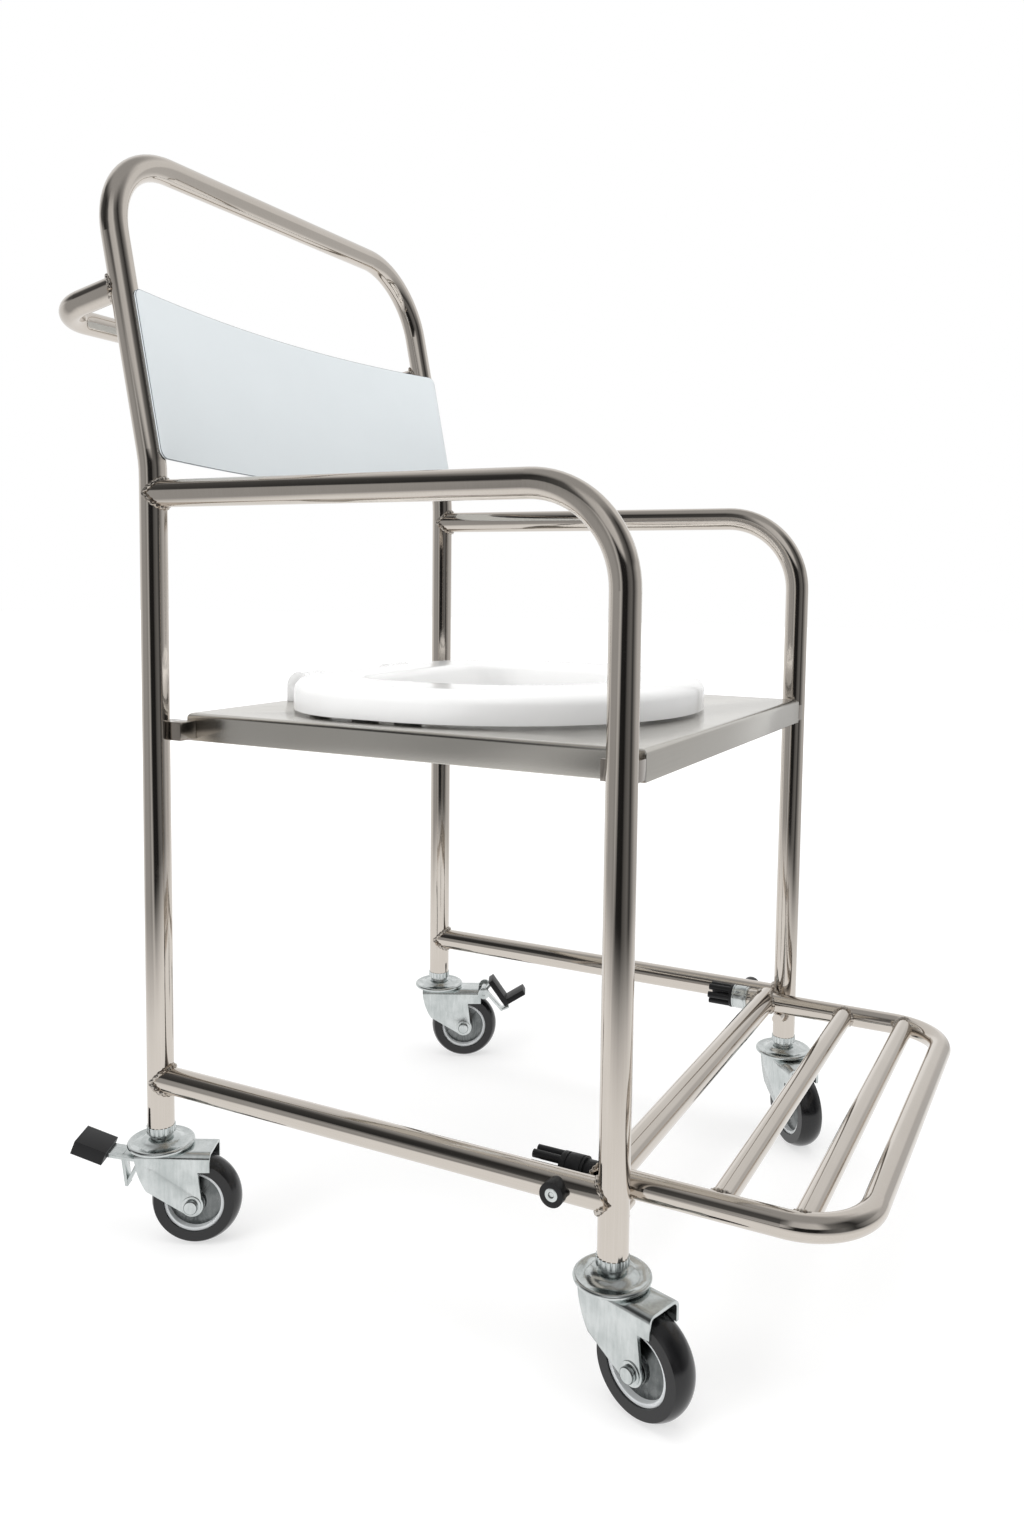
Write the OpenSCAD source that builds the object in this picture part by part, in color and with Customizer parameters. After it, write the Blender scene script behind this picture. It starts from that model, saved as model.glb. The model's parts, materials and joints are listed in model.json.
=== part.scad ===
// Shower commode chair: bent tube frame on four castors, with a folded seat pan,
// a lifting toilet ring, a bowed back panel, a push handle and a flip-up footrest.
// The chair stands on the floor at z = 0 and faces -Y; the sitter's right is -X.

/* [Frame] */
// Outside diameter of the frame tubes
tube_d = 22; // [20:0.5:24]
// Wall of all tubes
tube_wall = 1.2; // [1:0.1:1.5]
// Distance between the leg axes across the chair
leg_span = 446; // [440:1:500]
// Distance between the front and rear leg axes
leg_reach = 412; // [405:1:440]
// Height of the side rails above the leg ends
rail_rise = 40; // [36:1:60]
// Height of the armrest axis above the floor
armrest_z = 625; // [600:1:660]
// Centre-line radius of the bend between armrest and front leg
armrest_bend_r = 72; // [50:1:90]
// Height above the armrest axis at which the rear tube starts to bend
knee_rise = 14; // [14:0.5:20]
// Centre-line radius of the knee
knee_bend_r = 90; // [60:1:120]
// Swelling of the tube's diameter in the knee, left by the bending
knee_swell = 0.1; // [0.1:0.05:0.3]
// Angle by which the swelling runs on past each end of the knee
knee_runout = 1; // [0.5:0.1:1.5]
// Backward lean of the uprights, in degrees
back_lean = 11.5; // [8:0.5:14]
// Height of the top bar axis above the floor
top_bar_z = 906; // [880:1:940]
// Centre-line radius of the two top bends
top_bend_r = 74; // [60:1:85]
// How far a coped tube end stops short of the axis that it meets
cope_setback = 3; // [2:0.5:5]

/* [Push handle] */
// Outside diameter of the handle tube
handle_d = 20; // [16:0.5:20]
// How far the handle's axis stands behind the uprights
handle_reach = 82; // [70:1:110]
// Centre-line radius of the handle's bends
handle_bend_r = 35; // [25:1:45]
// Distance from the top bar axis down the uprights to the handle
handle_drop = 116; // [105:1:125]

/* [Back panel] */
// Thickness of the back panel
panel_t = 2; // [1.5:0.1:3]
// Height of the panel, measured along the uprights
panel_h = 139; // [120:1:145]
// Height of the panel's lower edge above the knee's upper end
panel_low = -7; // [-9:0.5:4]
// Overhang of the panel past the upright axes
panel_lap = 3; // [0:0.5:8]
// Gap between the panel and the uprights
panel_seat = 0.1; // [0.06:0.01:0.15]
// Backward bow of the panel at its middle
panel_bow = 19; // [10:1:25]
// Corner radius of the panel
panel_corner_r = 8; // [4:1:15]
// Diameter of the studs that hold the panel
stud_d = 6; // [4:0.5:7]
// Length of each stud behind the panel
stud_len = 7; // [5:0.5:9]
// Distance from the panel's upper and lower edges to the studs
stud_inset = 24; // [15:1:35]

/* [Seat pan] */
// Height of the pan's top face above the floor
pan_top_z = 447; // [430:1:470]
// Thickness of the pan's sheet
pan_t = 1.5; // [1.2:0.1:2]
// Outside height of the pan's folded skirt
pan_skirt = 23; // [18:1:30]
// Outside radius of the folds
pan_fold_r = 4; // [2.5:0.5:5]
// Gap between the pan's sides and the leg tubes
pan_side_gap = 7; // [4:0.5:12]
// How far the pan's front face stands ahead of the front leg axes
pan_front_lead = 10; // [6:1:14]
// How far the pan's rear face stands ahead of the rear leg axes
pan_rear_gap = 16; // [14:1:24]
// Height of the lugs that join the pan to the legs
lug_h = 15; // [10:1:17]
// Length of each lug along the pan's side
lug_len = 26; // [20:1:32]

/* [Toilet ring] */
// Half width of the ring
ring_half_w = 184; // [176:1:188]
// Distance from the ring's front edge back to the front leg axes
ring_front_gap = 29; // [20:1:40]
// Distance from the ring's rear edge forward to the rear leg axes
ring_rear_gap = 58; // [55:1:70]
// Corner radius of the ring's rear end
ring_rear_r = 100; // [85:1:120]
// Width of the ring's section
ring_w = 62; // [55:1:70]
// Thickness of the ring
ring_t = 24; // [20:1:26]
// Rounding of the ring's upper outer edge
ring_outer_r = 12; // [8:0.5:14]
// Rounding of the ring's upper inner edge
ring_inner_r = 8; // [5:0.5:10]
// Height of the buffers under the ring
buffer_h = 5; // [4:0.5:8]
// Diameter of the buffers
buffer_d = 22; // [16:1:26]
// Length of each buffer's peg up into the ring
buffer_peg = 6; // [4:0.5:10]
// Diameter of each buffer's peg
buffer_peg_d = 8; // [6:0.5:10]
// Margin left between the ring's inner edge and the pan's opening
aperture_margin = 8; // [4:0.5:15]

/* [Ring hinge] */
// Diameter of the hinge pins
hinge_pin_d = 8; // [6:0.5:9]
// Distance of each hinge from the chair's middle
hinge_x = 70; // [60:1:85]
// Height of the hinge axis above the pan
hinge_rise = 14; // [13:0.5:17]
// Distance from the ring's rear edge back to the hinge axis
hinge_back = 20; // [16:0.5:24]
// Width of the knuckle on the ring
knuckle_w = 18; // [14:1:24]
// Width of each of the two cheeks of a hinge post
cheek_w = 7; // [5:0.5:10]
// Side gap between a knuckle and a cheek
hinge_gap = 0.4; // [0.3:0.1:1]
// Radial clearance of running fits
run_fit = 0.05; // [0.03:0.01:0.09]

/* [Footrest] */
// Outside diameter of the footrest tube
foot_d = 19; // [16:0.5:20]
// Outside diameter of the two slats
slat_d = 17; // [14:0.5:18]
// Gap between the footrest's arms and the legs
foot_side_gap = 2.5; // [2:0.5:5]
// Distance of the rear bar behind the front leg axes
foot_bar_back = 14; // [13:0.5:16]
// Distance of the rear slat ahead of the front leg axes
slat_1_lead = 66; // [50:1:75]
// Distance of the front slat ahead of the front leg axes
slat_2_lead = 123; // [100:1:128]
// Distance of the front bar ahead of the front leg axes
foot_front_lead = 161; // [155:1:200]
// Centre-line radius of the footrest's two corners
foot_bend_r = 50; // [40:1:60]
// Length of the bare tail tube behind the rear bar's axis
tail_len = 20; // [18:0.5:24]
// Length of the collar over the ends of tail tube and plug
collar_len = 15; // [14:0.5:17]
// Length of the collar on the tail tube
collar_lap = 3; // [2:0.5:4]
// Wall of the collar
collar_wall = 1.8; // [1:0.1:2]
// Width of the two grooves round the collar
groove_w = 1.2; // [0.8:0.1:1.5]
// Depth of the grooves
groove_depth = 0.8; // [0.5:0.1:0.9]
// Thickness of the pivot plug's flange behind the collar
flange_t = 3; // [2:0.5:5]
// Number of fingers on a pivot plug
finger_count = 6; // [4:1:8]
// Length of the fingers behind the flange
finger_len = 22; // [15:1:28]
// Diameter of the fingers
finger_d = 6; // [5:0.1:6.5]
// Distance of the fingers' axes inside the flange's edge
finger_inset = 3.4; // [3.3:0.1:4]
// Depth to which the plug's spigot enters the tail tube
spigot_len = 5; // [4:0.5:6]
// Distance from the tail tube's end back to the pivot
pivot_back = 5.5; // [5:0.5:6.5]
// Diameter of the pivot bolts
pivot_d = 8; // [6:0.5:8]
// Diameter of the pivot caps outside the rails
cap_d = 18; // [16:0.5:20]
// Thickness of the pivot caps beyond the rail's side
cap_t = 6; // [5:0.5:8]
// Diameter of the metal washer let into each cap
cap_washer_d = 10; // [9:0.5:11]
// Depth of the washer's seat in each cap
cap_seat = 2; // [1.5:0.1:2.5]
// Diameter of the stop pegs under the footrest's arms
peg_d = 10; // [8:0.5:12]
// Gap between a stop peg and the arm above it
peg_gap = 0.3; // [0.2:0.05:0.5]

/* [Castors] */
// Diameter of the wheels
wheel_d = 75; // [75:1:85]
// Width of the tyres
tyre_w = 22; // [20:0.5:24]
// Radial thickness of the tyres
tyre_t = 12; // [10:0.5:13]
// Radius of the tyres' round tread section
tread_r = 18; // [15:1:25]
// Thickness of the web beside each wheel's rim
web_t = 9; // [7:0.5:11]
// Thickness of the dished web beside each wheel's boss
dish_w = 18; // [14:0.5:20]
// Diameter of each wheel's boss
boss_d = 20; // [18:0.5:22]
// Width of each wheel's boss
boss_w = 24; // [23:0.5:25]
// Radial thickness of each wheel's rim
rim_t = 3; // [2.5:0.5:5]
// Width of each wheel's rim
rim_w = 19; // [16:0.5:20]
// Trail from the swivel axis to the axle
trail = 30; // [27:0.5:33]
// Height from the top of the wheel to the leg end
head_rise = 25; // [24:0.5:30]
// Thickness of the fork's sheet
fork_t = 2.5; // [2:0.1:3]
// Inside width between the fork's cheeks
fork_gap = 27; // [26.5:0.1:30]
// Gap between tyre and fork crown
crown_gap = 4.5; // [4:0.5:5.5]
// Length of a fork's crown behind the swivel axis
crown_trail = 45; // [43:1:47]
// Length of the crown behind the swivel axis on the fork with ears
eared_trail = 50; // [49:1:52]
// Length of the fork's crown ahead of the swivel axis
crown_lead = 18; // [16:1:21]
// Radius of the cheeks' round leading edge
lead_r = 60; // [56:1:80]
// Outside radius of the folds between crown and cheeks
fork_fold_r = 6; // [4:0.5:7]
// Depth of the fork's straight apron below its crown
fork_apron = 16; // [14:0.5:18]
// Radius of the rounded fork ends
fork_end_r = 9.5; // [9:0.5:11]
// Rise of the cheeks' lower edge toward the leading side, in degrees
cheek_rise = 30; // [25:1:35]
// Width of the cheeks behind the axle at the apron's lower edge
fork_waist = 5; // [4:0.5:8]
// Diameter of the pressed ring round each axle hole
axle_ring_d = 16; // [15:0.5:17]
// Height of the pressed ring
axle_ring_h = 1.2; // [0.8:0.1:1.5]
// Diameter of the dished swivel head
head_d = 55; // [54:1:58]
// Height of the swivel head
head_h = 5.6; // [5:0.1:6.5]
// Thickness of the swivel head's plate
head_plate = 2.2; // [1.8:0.1:2.4]
// Radius of the swivel head's rolled rim
head_rim_r = 1.9; // [1.6:0.1:2]
// Lift of the rolled rim's centre above the head's underside
head_rim_lift = 0.6; // [0.4:0.1:0.8]
// Radius at which the head's cone starts to rise
head_cone_r = 21; // [20:0.5:22]
// Radius of the head's flat top
head_land_r = 13.5; // [13:0.5:15]
// Gap between a fork's crown and its bearing ring
swivel_gap = 0.2; // [0.1:0.05:0.3]
// Thickness of the bearing ring between head and fork
race_t = 2.2; // [2:0.1:3]
// Diameter of the bearing ring
race_d = 46; // [40:1:46]
// Diameter of the stems
stem_d = 12; // [10:0.5:12]
// Length of each stem inside the leg
stem_len = 26; // [20:1:30]
// Length of each threaded plug in the leg end
leg_plug_len = 30; // [25:1:36]
// Number of serrations round each stem nut
nut_teeth = 20; // [16:1:24]
// Diameter of the stem nuts
nut_d = 23.5; // [23:0.5:26]
// Height of the serrated band of each stem nut
nut_band = 6; // [5:0.5:7]
// Diameter of each stem nut's collar below the band
nut_collar_d = 19; // [17:0.5:20]
// Depth of the serrations
nut_tooth = 0.8; // [0.6:0.1:1]
// Diameter of the axle bolts
axle_d = 8; // [6:0.5:9]
// Diameter of the axle bolt heads
axle_head_d = 11.5; // [10:0.5:13]
// Height of the axle bolt heads
axle_head_h = 3.5; // [3:0.5:5]
// Swivel turn of the right rear castor
right_rear_turn = 206; // [0:1:360]
// Swivel turn of the right front castor
right_front_turn = 163; // [0:1:360]
// Swivel turn of the left front castor
left_front_turn = 132; // [0:1:360]
// Swivel turn of the left rear castor
left_rear_turn = 207; // [0:1:360]

/* [Brakes] */
// Distance from the wheel's axle to the brake pivot
brake_pivot_r = 47; // [46:0.5:48]
// Angle of the right brake's pivot, from straight up toward the leading side
right_brake_angle = 46; // [44:1:50]
// Angle of the left brake's pivot, from straight up toward the trailing side
left_brake_angle = 30; // [28:1:32]
// Width of the brake levers
lever_w = 20; // [19:0.5:22]
// Thickness of the brake levers
lever_t = 2.5; // [2:0.1:3]
// Length of the right lever's arm and of the pedal at its end
right_pedal_lens = [46, 16];
// Upward slope of the right arm, and of the pedal against the arm, in degrees
right_pedal_turns = [9, 12];
// Length of the left lever's riser and of the two halves of its tongue
left_pedal_lens = [14, 28, 22];
// Slope of the left riser, and of each half of the tongue against what comes before, in degrees
left_pedal_turns = [48, -103, 86];
// Wall of the rubber over the right pedal
right_cap_wall = 4.5; // [3:0.5:5]
// Wall of the rubber over the left tongue
left_cap_wall = 1.8; // [1.5:0.1:2.5]
// Step by which each plate of a lever is narrower on each side than the one before
plate_step = 0.3; // [0.2:0.05:0.5]
// Length of the brake pivot barrels
barrel_w = 24; // [23:0.5:25]
// Width of the brake shoes
shoe_w = 18; // [14:0.5:18]
// Diameter of the brake pivot barrels
barrel_d = 9; // [8:0.5:9.5]
// Diameter of the brake pivot pins
brake_pin_d = 4; // [3:0.5:4.5]
// Reach of the brake shoe from its pivot
shoe_reach = 9; // [8:0.1:9.2]
// Angle that the shoe has to turn to point at the axle, in degrees
shoe_lag = 25; // [20:1:30]
// Radius of the ears that carry the left brake's pivot
ear_r = 6.5; // [6:0.1:7]
// Gap between the left brake's barrel and the fork's crown
barrel_gap = 2; // [1.5:0.1:3]
// Width of the release tabs
tab_w = 10; // [8:0.5:12]
// Distance of the right release tab from the pivot, along the arm
right_tab_start = 28; // [25:1:29]
// Length of the right release tab's two legs
right_tab_lens = [26, 20];
// Slope of the right release tab against the arm, and of its second leg against the first
right_tab_turns = [-106, -146];
// Length of the left release tab's two legs
left_tab_lens = [31, 8];
// Slope of the left release tab, and of its lip against it, in degrees
left_tab_turns = [-48.5, 70];

/* [Hidden] */
$fn = 96;
steel = [0.76, 0.73, 0.69];
zinc = [0.72, 0.75, 0.76];
black = [0.08, 0.08, 0.09];
white = [0.96, 0.96, 0.95];
grey = [0.60, 0.62, 0.63];
panel_grey = [0.87, 0.90, 0.91];
cut = 1;
toe_dip = 0.3;
lead_fn = 360;
tube_r = tube_d / 2;
half_span = leg_span / 2;
half_reach = leg_reach / 2;
wheel_r = wheel_d / 2;
leg_end_z = wheel_d + head_rise;
rail_z = leg_end_z + rail_rise;
knee_z = armrest_z + knee_rise;
top_run = (top_bar_z - knee_z - knee_bend_r * sin(back_lean)) / cos(back_lean);
bar_half = half_span - top_bend_r;
handle_up = top_run - handle_drop;
panel_half = half_span + panel_lap;
panel_r = (panel_half * panel_half + panel_bow * panel_bow) / (2 * panel_bow);
panel_drum_r = panel_r + panel_t;
panel_drum_y = -sqrt(pow(panel_drum_r + panel_seat + tube_r, 2) - half_span * half_span);
panel_fn = 720;
stud_face = panel_drum_y + sqrt(pow(panel_drum_r, 2) - pow(half_span - stud_d / 2, 2));
pan_half = half_span - tube_r - pan_side_gap;
pan_front = -half_reach - pan_front_lead;
pan_rear = half_reach - pan_rear_gap;
pan_mid = (pan_front + pan_rear) / 2;
pan_len = pan_rear - pan_front;
pan_low_z = pan_top_z - pan_skirt;
ring_front = -half_reach + ring_front_gap;
ring_rear = half_reach - ring_rear_gap;
ring_low_z = pan_top_z + buffer_h;
front_r = ring_half_w;
hinge_y = ring_rear + hinge_back;
hinge_z = pan_top_z + hinge_rise;
knuckle_r = hinge_rise - run_fit - hinge_gap;
foot_r = foot_d / 2;
foot_x = half_span - tube_r - foot_side_gap - foot_r;
foot_bar_y = -half_reach + foot_bar_back;
foot_front_y = -half_reach - foot_front_lead;
tail_end_y = foot_bar_y + tail_len;
pivot_y = tail_end_y + pivot_back;
plug_r = foot_r + collar_wall;
pivot_depth = foot_r / 2;
rail_face = half_span + tube_r;
fork_crown_z = wheel_d + crown_gap;
fork_top_z = fork_crown_z + fork_t;
race_z = fork_top_z + swivel_gap;
head_z = race_z + race_t;
nut_z = head_z + head_h;
fork_half = fork_gap / 2 + fork_t;
axle_half = fork_half + axle_ring_h;

// Straight bar along +Z.
module rod(d, h) {
  cylinder(d = d, h = h);
}

// Bend in the XY plane about Z, from +X round by the angle.
module bend(r, angle, d) {
  rotate_extrude(angle = angle)
    translate([r, 0])
      circle(d = d);
}

// Repeats its children on both sides of the chair.
module both() {
  children();
  mirror([1, 0, 0])
    children();
}

// Moves its children to the leaning frame of the uprights, at the knee's upper end.
module leaning() {
  translate([0, half_reach + knee_bend_r, knee_z])
    rotate([-back_lean, 0, 0])
      translate([0, -knee_bend_r, 0])
        children();
}

// One half of the rear tube as a solid bar of the given diameter.
module back_half(d, extra) {
  translate([half_span, half_reach, leg_end_z - extra])
    rod(d, knee_z - leg_end_z + extra);
  translate([half_span, half_reach + knee_bend_r, knee_z])
    rotate([90, 0, -90])
      rotate([0, 0, -knee_runout])
        bend(knee_bend_r, back_lean + 2 * knee_runout, d + knee_swell);
  leaning() {
    translate([half_span, 0, 0])
      rod(d, top_run - top_bend_r);
    translate([bar_half, 0, top_run - top_bend_r])
      rotate([90, 0, 0])
        bend(top_bend_r, 90, d);
  }
}

module back_path(d, extra) {
  both()
    back_half(d, extra);
  leaning()
    translate([-bar_half, 0, top_run])
      rotate([0, 90, 0])
        rod(d, 2 * bar_half);
}

// Rear tube: both rear legs, the uprights and the top bar in one bent tube.
module back_frame() {
  color(steel)
    difference() {
      back_path(tube_d, 0);
      back_path(tube_d - 2 * tube_wall, cut);
      leaning()
        stud_set(stud_d);
    }
}

// One side tube as a solid bar: front leg, bend and armrest.
module side_path(d, extra) {
  translate([half_span, -half_reach, leg_end_z - extra])
    rod(d, armrest_z - armrest_bend_r - leg_end_z + extra);
  translate([half_span, -half_reach + armrest_bend_r, armrest_z - armrest_bend_r])
    rotate([90, 0, -90])
      bend(armrest_bend_r, 90, d);
  translate([half_span, -half_reach + armrest_bend_r, armrest_z])
    rotate([-90, 0, 0])
      rod(d, leg_reach - armrest_bend_r - cope_setback + extra);
}

module rear_leg_bar() {
  translate([half_span, half_reach, leg_end_z])
    rod(tube_d, knee_z - leg_end_z);
}

module front_leg_bar() {
  translate([half_span, -half_reach, leg_end_z])
    rod(tube_d, armrest_z - armrest_bend_r - leg_end_z);
}

module side_frame() {
  color(steel)
    difference() {
      side_path(tube_d, 0);
      side_path(tube_d - 2 * tube_wall, cut);
      rear_leg_bar();
    }
}

// Left front leg and armrest, one bent tube.
module left_side_frame() {
  side_frame();
}

// Right front leg and armrest, one bent tube.
module right_side_frame() {
  mirror([1, 0, 0])
    side_frame();
}

module rail_bar(d, extra) {
  translate([half_span, -half_reach + cope_setback - extra, rail_z])
    rotate([-90, 0, 0])
      rod(d, leg_reach - 2 * cope_setback + 2 * extra);
}

module side_rail() {
  color(steel)
    difference() {
      rail_bar(tube_d, 0);
      rail_bar(tube_d - 2 * tube_wall, cut);
      rear_leg_bar();
      front_leg_bar();
      pivot_bore(pivot_d + 2 * run_fit);
    }
}

// Left lower rail between the legs.
module left_side_rail() {
  side_rail();
}

// Right lower rail between the legs.
module right_side_rail() {
  mirror([1, 0, 0])
    side_rail();
}

// The handle's path in the leaning frame, as a solid bar.
module handle_path(d, extra) {
  both() {
    translate([half_span, cope_setback - extra, handle_up])
      rotate([-90, 0, 0])
        rod(d, handle_reach - handle_bend_r - cope_setback + extra);
    translate([half_span - handle_bend_r, handle_reach - handle_bend_r, handle_up])
      bend(handle_bend_r, 90, d);
  }
  translate([-half_span + handle_bend_r, handle_reach, handle_up])
    rotate([0, 90, 0])
      rod(d, leg_span - 2 * handle_bend_r);
}

// Push handle behind the uprights, coped to their tubes.
module push_handle() {
  color(steel)
    leaning()
      difference() {
        handle_path(handle_d, 0);
        handle_path(handle_d - 2 * tube_wall, cut);
        both()
          translate([half_span, 0, 0])
            rod(tube_d, top_run - top_bend_r);
      }
}

// Panel outline seen along the panel's normal, with round corners.
module panel_outline() {
  inner_w = panel_half - panel_corner_r;
  inner_h = panel_h - 2 * panel_corner_r;
  translate([-panel_half, panel_corner_r])
    square([2 * panel_half, inner_h]);
  translate([-inner_w, 0])
    square([2 * inner_w, panel_h]);
  for (x = [-inner_w, inner_w], z = [panel_corner_r, panel_h - panel_corner_r])
    translate([x, z])
      circle(r = panel_corner_r);
}

// Drum on whose wall the bowed panel lies, as tall as the panel and the overrun.
module panel_drum(r, extra) {
  translate([0, panel_drum_y, -extra])
    cylinder(r = r, h = panel_h + 2 * extra, $fn = panel_fn);
}

// Bowed back panel on the front of the uprights.
module back_panel() {
  color(panel_grey)
    leaning()
      translate([0, 0, panel_low])
        intersection() {
          difference() {
            panel_drum(panel_drum_r, cut);
            panel_drum(panel_r, 2 * cut);
          }
          translate([0, panel_bow, 0])
            rotate([90, 0, 0])
              linear_extrude(2 * panel_bow + tube_d)
                panel_outline();
        }
}

// Studs in the leaning frame, from the panel's back into the uprights.
module stud_set(d) {
  both()
    for (z = [panel_low + stud_inset, panel_low + panel_h - stud_inset])
      translate([half_span, stud_face, z])
        rotate([-90, 0, 0])
          rod(d, stud_len);
}

// Hidden studs between the panel and the uprights.
module panel_studs() {
  color(zinc)
    leaning()
      stud_set(stud_d);
}

// Upper part of a folded tray's section: a bar with two round upper corners.
module fold_section(w, h, r) {
  translate([-w / 2, 0])
    square([w, h - r]);
  translate([-w / 2 + r, 0])
    square([w - 2 * r, h]);
  for (x = [-w / 2 + r, w / 2 - r])
    translate([x, h - r])
      circle(r = r);
}

// Tray block whose four upper edges are round.
module fold_block(w, l, h, r) {
  intersection() {
    translate([0, l / 2, 0])
      rotate([90, 0, 0])
        linear_extrude(l)
          fold_section(w, h, r);
    translate([-w / 2, 0, 0])
      rotate([90, 0, 90])
        linear_extrude(w)
          fold_section(l, h, r);
  }
}

// Outline of the ring's oval, inset by the given margin.
module oval(inset) {
  rear_r = ring_rear_r - inset;
  front_c = ring_front + front_r;
  rear_c = ring_rear - ring_rear_r;
  half_w = ring_half_w - inset;
  corner_x = ring_half_w - ring_rear_r;
  intersection() {
    translate([0, front_c])
      circle(r = front_r - inset);
    translate([-half_w, ring_front])
      square([2 * half_w, front_c - ring_front]);
  }
  translate([-half_w, front_c])
    square([2 * half_w, rear_c - front_c]);
  translate([-corner_x, front_c])
    square([2 * corner_x, ring_rear - inset - front_c]);
  for (x = [-corner_x, corner_x])
    translate([x, rear_c])
      circle(r = rear_r);
}

// Folded sheet pan with an oval opening under the ring.
module seat_pan() {
  inner_w = 2 * (pan_half - pan_t);
  inner_l = pan_len - 2 * pan_t;
  color(steel)
    difference() {
      translate([0, pan_mid, pan_low_z])
        fold_block(2 * pan_half, pan_len, pan_skirt, pan_fold_r);
      translate([0, pan_mid, pan_low_z - cut])
        fold_block(inner_w, inner_l, pan_skirt - pan_t + cut, pan_fold_r - pan_t);
      translate([0, 0, pan_low_z])
        linear_extrude(pan_skirt + cut)
          oval(ring_w - aperture_margin);
    }
}

// Lugs welded between the pan's sides and the four legs.
module seat_lugs() {
  lug_w = pan_side_gap + tube_r;
  lug_z = pan_low_z + (pan_skirt - pan_fold_r - lug_h) / 2;
  color(steel)
    both() {
      difference() {
        translate([pan_half, half_reach - lug_len, lug_z])
          cube([lug_w, lug_len, lug_h]);
        rear_leg_bar();
      }
      difference() {
        translate([pan_half, pan_front, lug_z])
          cube([lug_w, lug_len, lug_h]);
        front_leg_bar();
      }
    }
}

// Section of the ring: outer edge at x = 0, upper edges round.
module ring_section() {
  square([ring_w, ring_t - ring_outer_r]);
  translate([ring_outer_r, 0])
    square([ring_w - ring_outer_r - ring_inner_r, ring_t]);
  translate([ring_w - ring_inner_r - cut, 0])
    square([ring_inner_r + cut, ring_t - ring_inner_r]);
  translate([ring_outer_r, ring_t - ring_outer_r])
    circle(r = ring_outer_r);
  translate([ring_w - ring_inner_r, ring_t - ring_inner_r])
    circle(r = ring_inner_r);
}

// Arc of the ring about Z, with its outer edge on the given radius.
module ring_arc(r, angle) {
  rotate_extrude(angle = angle)
    translate([r, 0])
      mirror([1, 0])
        ring_section();
}

// Straight stretch of the ring along -Y, with its outer edge at x = 0.
module ring_straight(len) {
  rotate([90, 0, 0])
    linear_extrude(len)
      mirror([1, 0])
        ring_section();
}

// White ring with two hinge knuckles at its rear.
module toilet_ring() {
  front_c = ring_front + front_r;
  rear_c = ring_rear - ring_rear_r;
  corner_x = ring_half_w - ring_rear_r;
  color(white)
    difference() {
      union() {
        translate([0, 0, ring_low_z]) {
          translate([0, front_c, 0])
            rotate([0, 0, 180])
              ring_arc(front_r, 180);
          translate([corner_x, rear_c, 0])
            ring_arc(ring_rear_r, 90);
          translate([-corner_x, rear_c, 0])
            rotate([0, 0, 90])
              ring_arc(ring_rear_r, 90);
          translate([ring_half_w, rear_c, 0])
            ring_straight(rear_c - front_c);
          translate([-ring_half_w, front_c, 0])
            rotate([0, 0, 180])
              ring_straight(rear_c - front_c);
          translate([-corner_x, ring_rear, 0])
            rotate([0, 0, 90])
              ring_straight(2 * corner_x);
        }
        both()
          translate([hinge_x - knuckle_w / 2, 0, 0]) {
            translate([0, hinge_y, hinge_z])
              rotate([0, 90, 0])
                rod(2 * knuckle_r, knuckle_w);
            translate([0, ring_rear - ring_outer_r, ring_low_z])
              cube([knuckle_w, hinge_back + ring_outer_r, hinge_z - ring_low_z]);
          }
      }
      both()
        hinge_bore(hinge_pin_d + 2 * run_fit);
      both()
        for (y = [ring_front + front_r, ring_rear - ring_rear_r])
          buffer_at(y)
            rod(buffer_peg_d, buffer_peg);
    }
}

module hinge_bore(d) {
  translate([hinge_x - knuckle_w / 2 - hinge_gap - cheek_w, hinge_y, hinge_z])
    rotate([0, 90, 0])
      rod(d, knuckle_w + 2 * hinge_gap + 2 * cheek_w);
}

// Place of a buffer under the ring's side, at the ring's underside.
module buffer_at(y) {
  translate([ring_half_w - ring_w / 2, y, ring_low_z])
    children();
}

// Soft buffers that hold the ring off the pan, with pegs in the ring.
module ring_buffers() {
  color(grey)
    both()
      for (y = [ring_front + front_r, ring_rear - ring_rear_r])
        buffer_at(y) {
          translate([0, 0, -buffer_h])
            rod(buffer_d, buffer_h);
          rod(buffer_peg_d, buffer_peg);
        }
}

// Hinge posts on the pan, each with two cheeks about a knuckle.
module hinge_posts() {
  post_d = 2 * knuckle_r;
  inner = knuckle_w / 2 + hinge_gap;
  color(white)
    difference() {
      both()
        for (x = [hinge_x - inner - cheek_w, hinge_x + inner])
          translate([x, hinge_y, 0]) {
            translate([0, 0, hinge_z])
              rotate([0, 90, 0])
                rod(post_d, cheek_w);
            translate([0, -knuckle_r, pan_top_z])
              cube([cheek_w, post_d, hinge_rise]);
          }
      both()
        hinge_bore(hinge_pin_d);
    }
}

// Hinge pins through posts and knuckles.
module hinge_pins() {
  color(zinc)
    both()
      hinge_bore(hinge_pin_d);
}

// The footrest's U as a solid bar: both arms, the corners and the front bar.
module foot_path(d, extra) {
  arm_len = foot_bar_y - cope_setback - foot_front_y - foot_bend_r;
  both() {
    translate([foot_x, foot_front_y + foot_bend_r, rail_z])
      rotate([-90, 0, 0])
        rod(d, arm_len + extra);
    translate([foot_x - foot_bend_r, foot_front_y + foot_bend_r, rail_z])
      rotate([0, 0, -90])
        bend(foot_bend_r, 90, d);
  }
  translate([-foot_x + foot_bend_r, foot_front_y, rail_z])
    rotate([0, 90, 0])
      rod(d, 2 * (foot_x - foot_bend_r));
}

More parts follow.
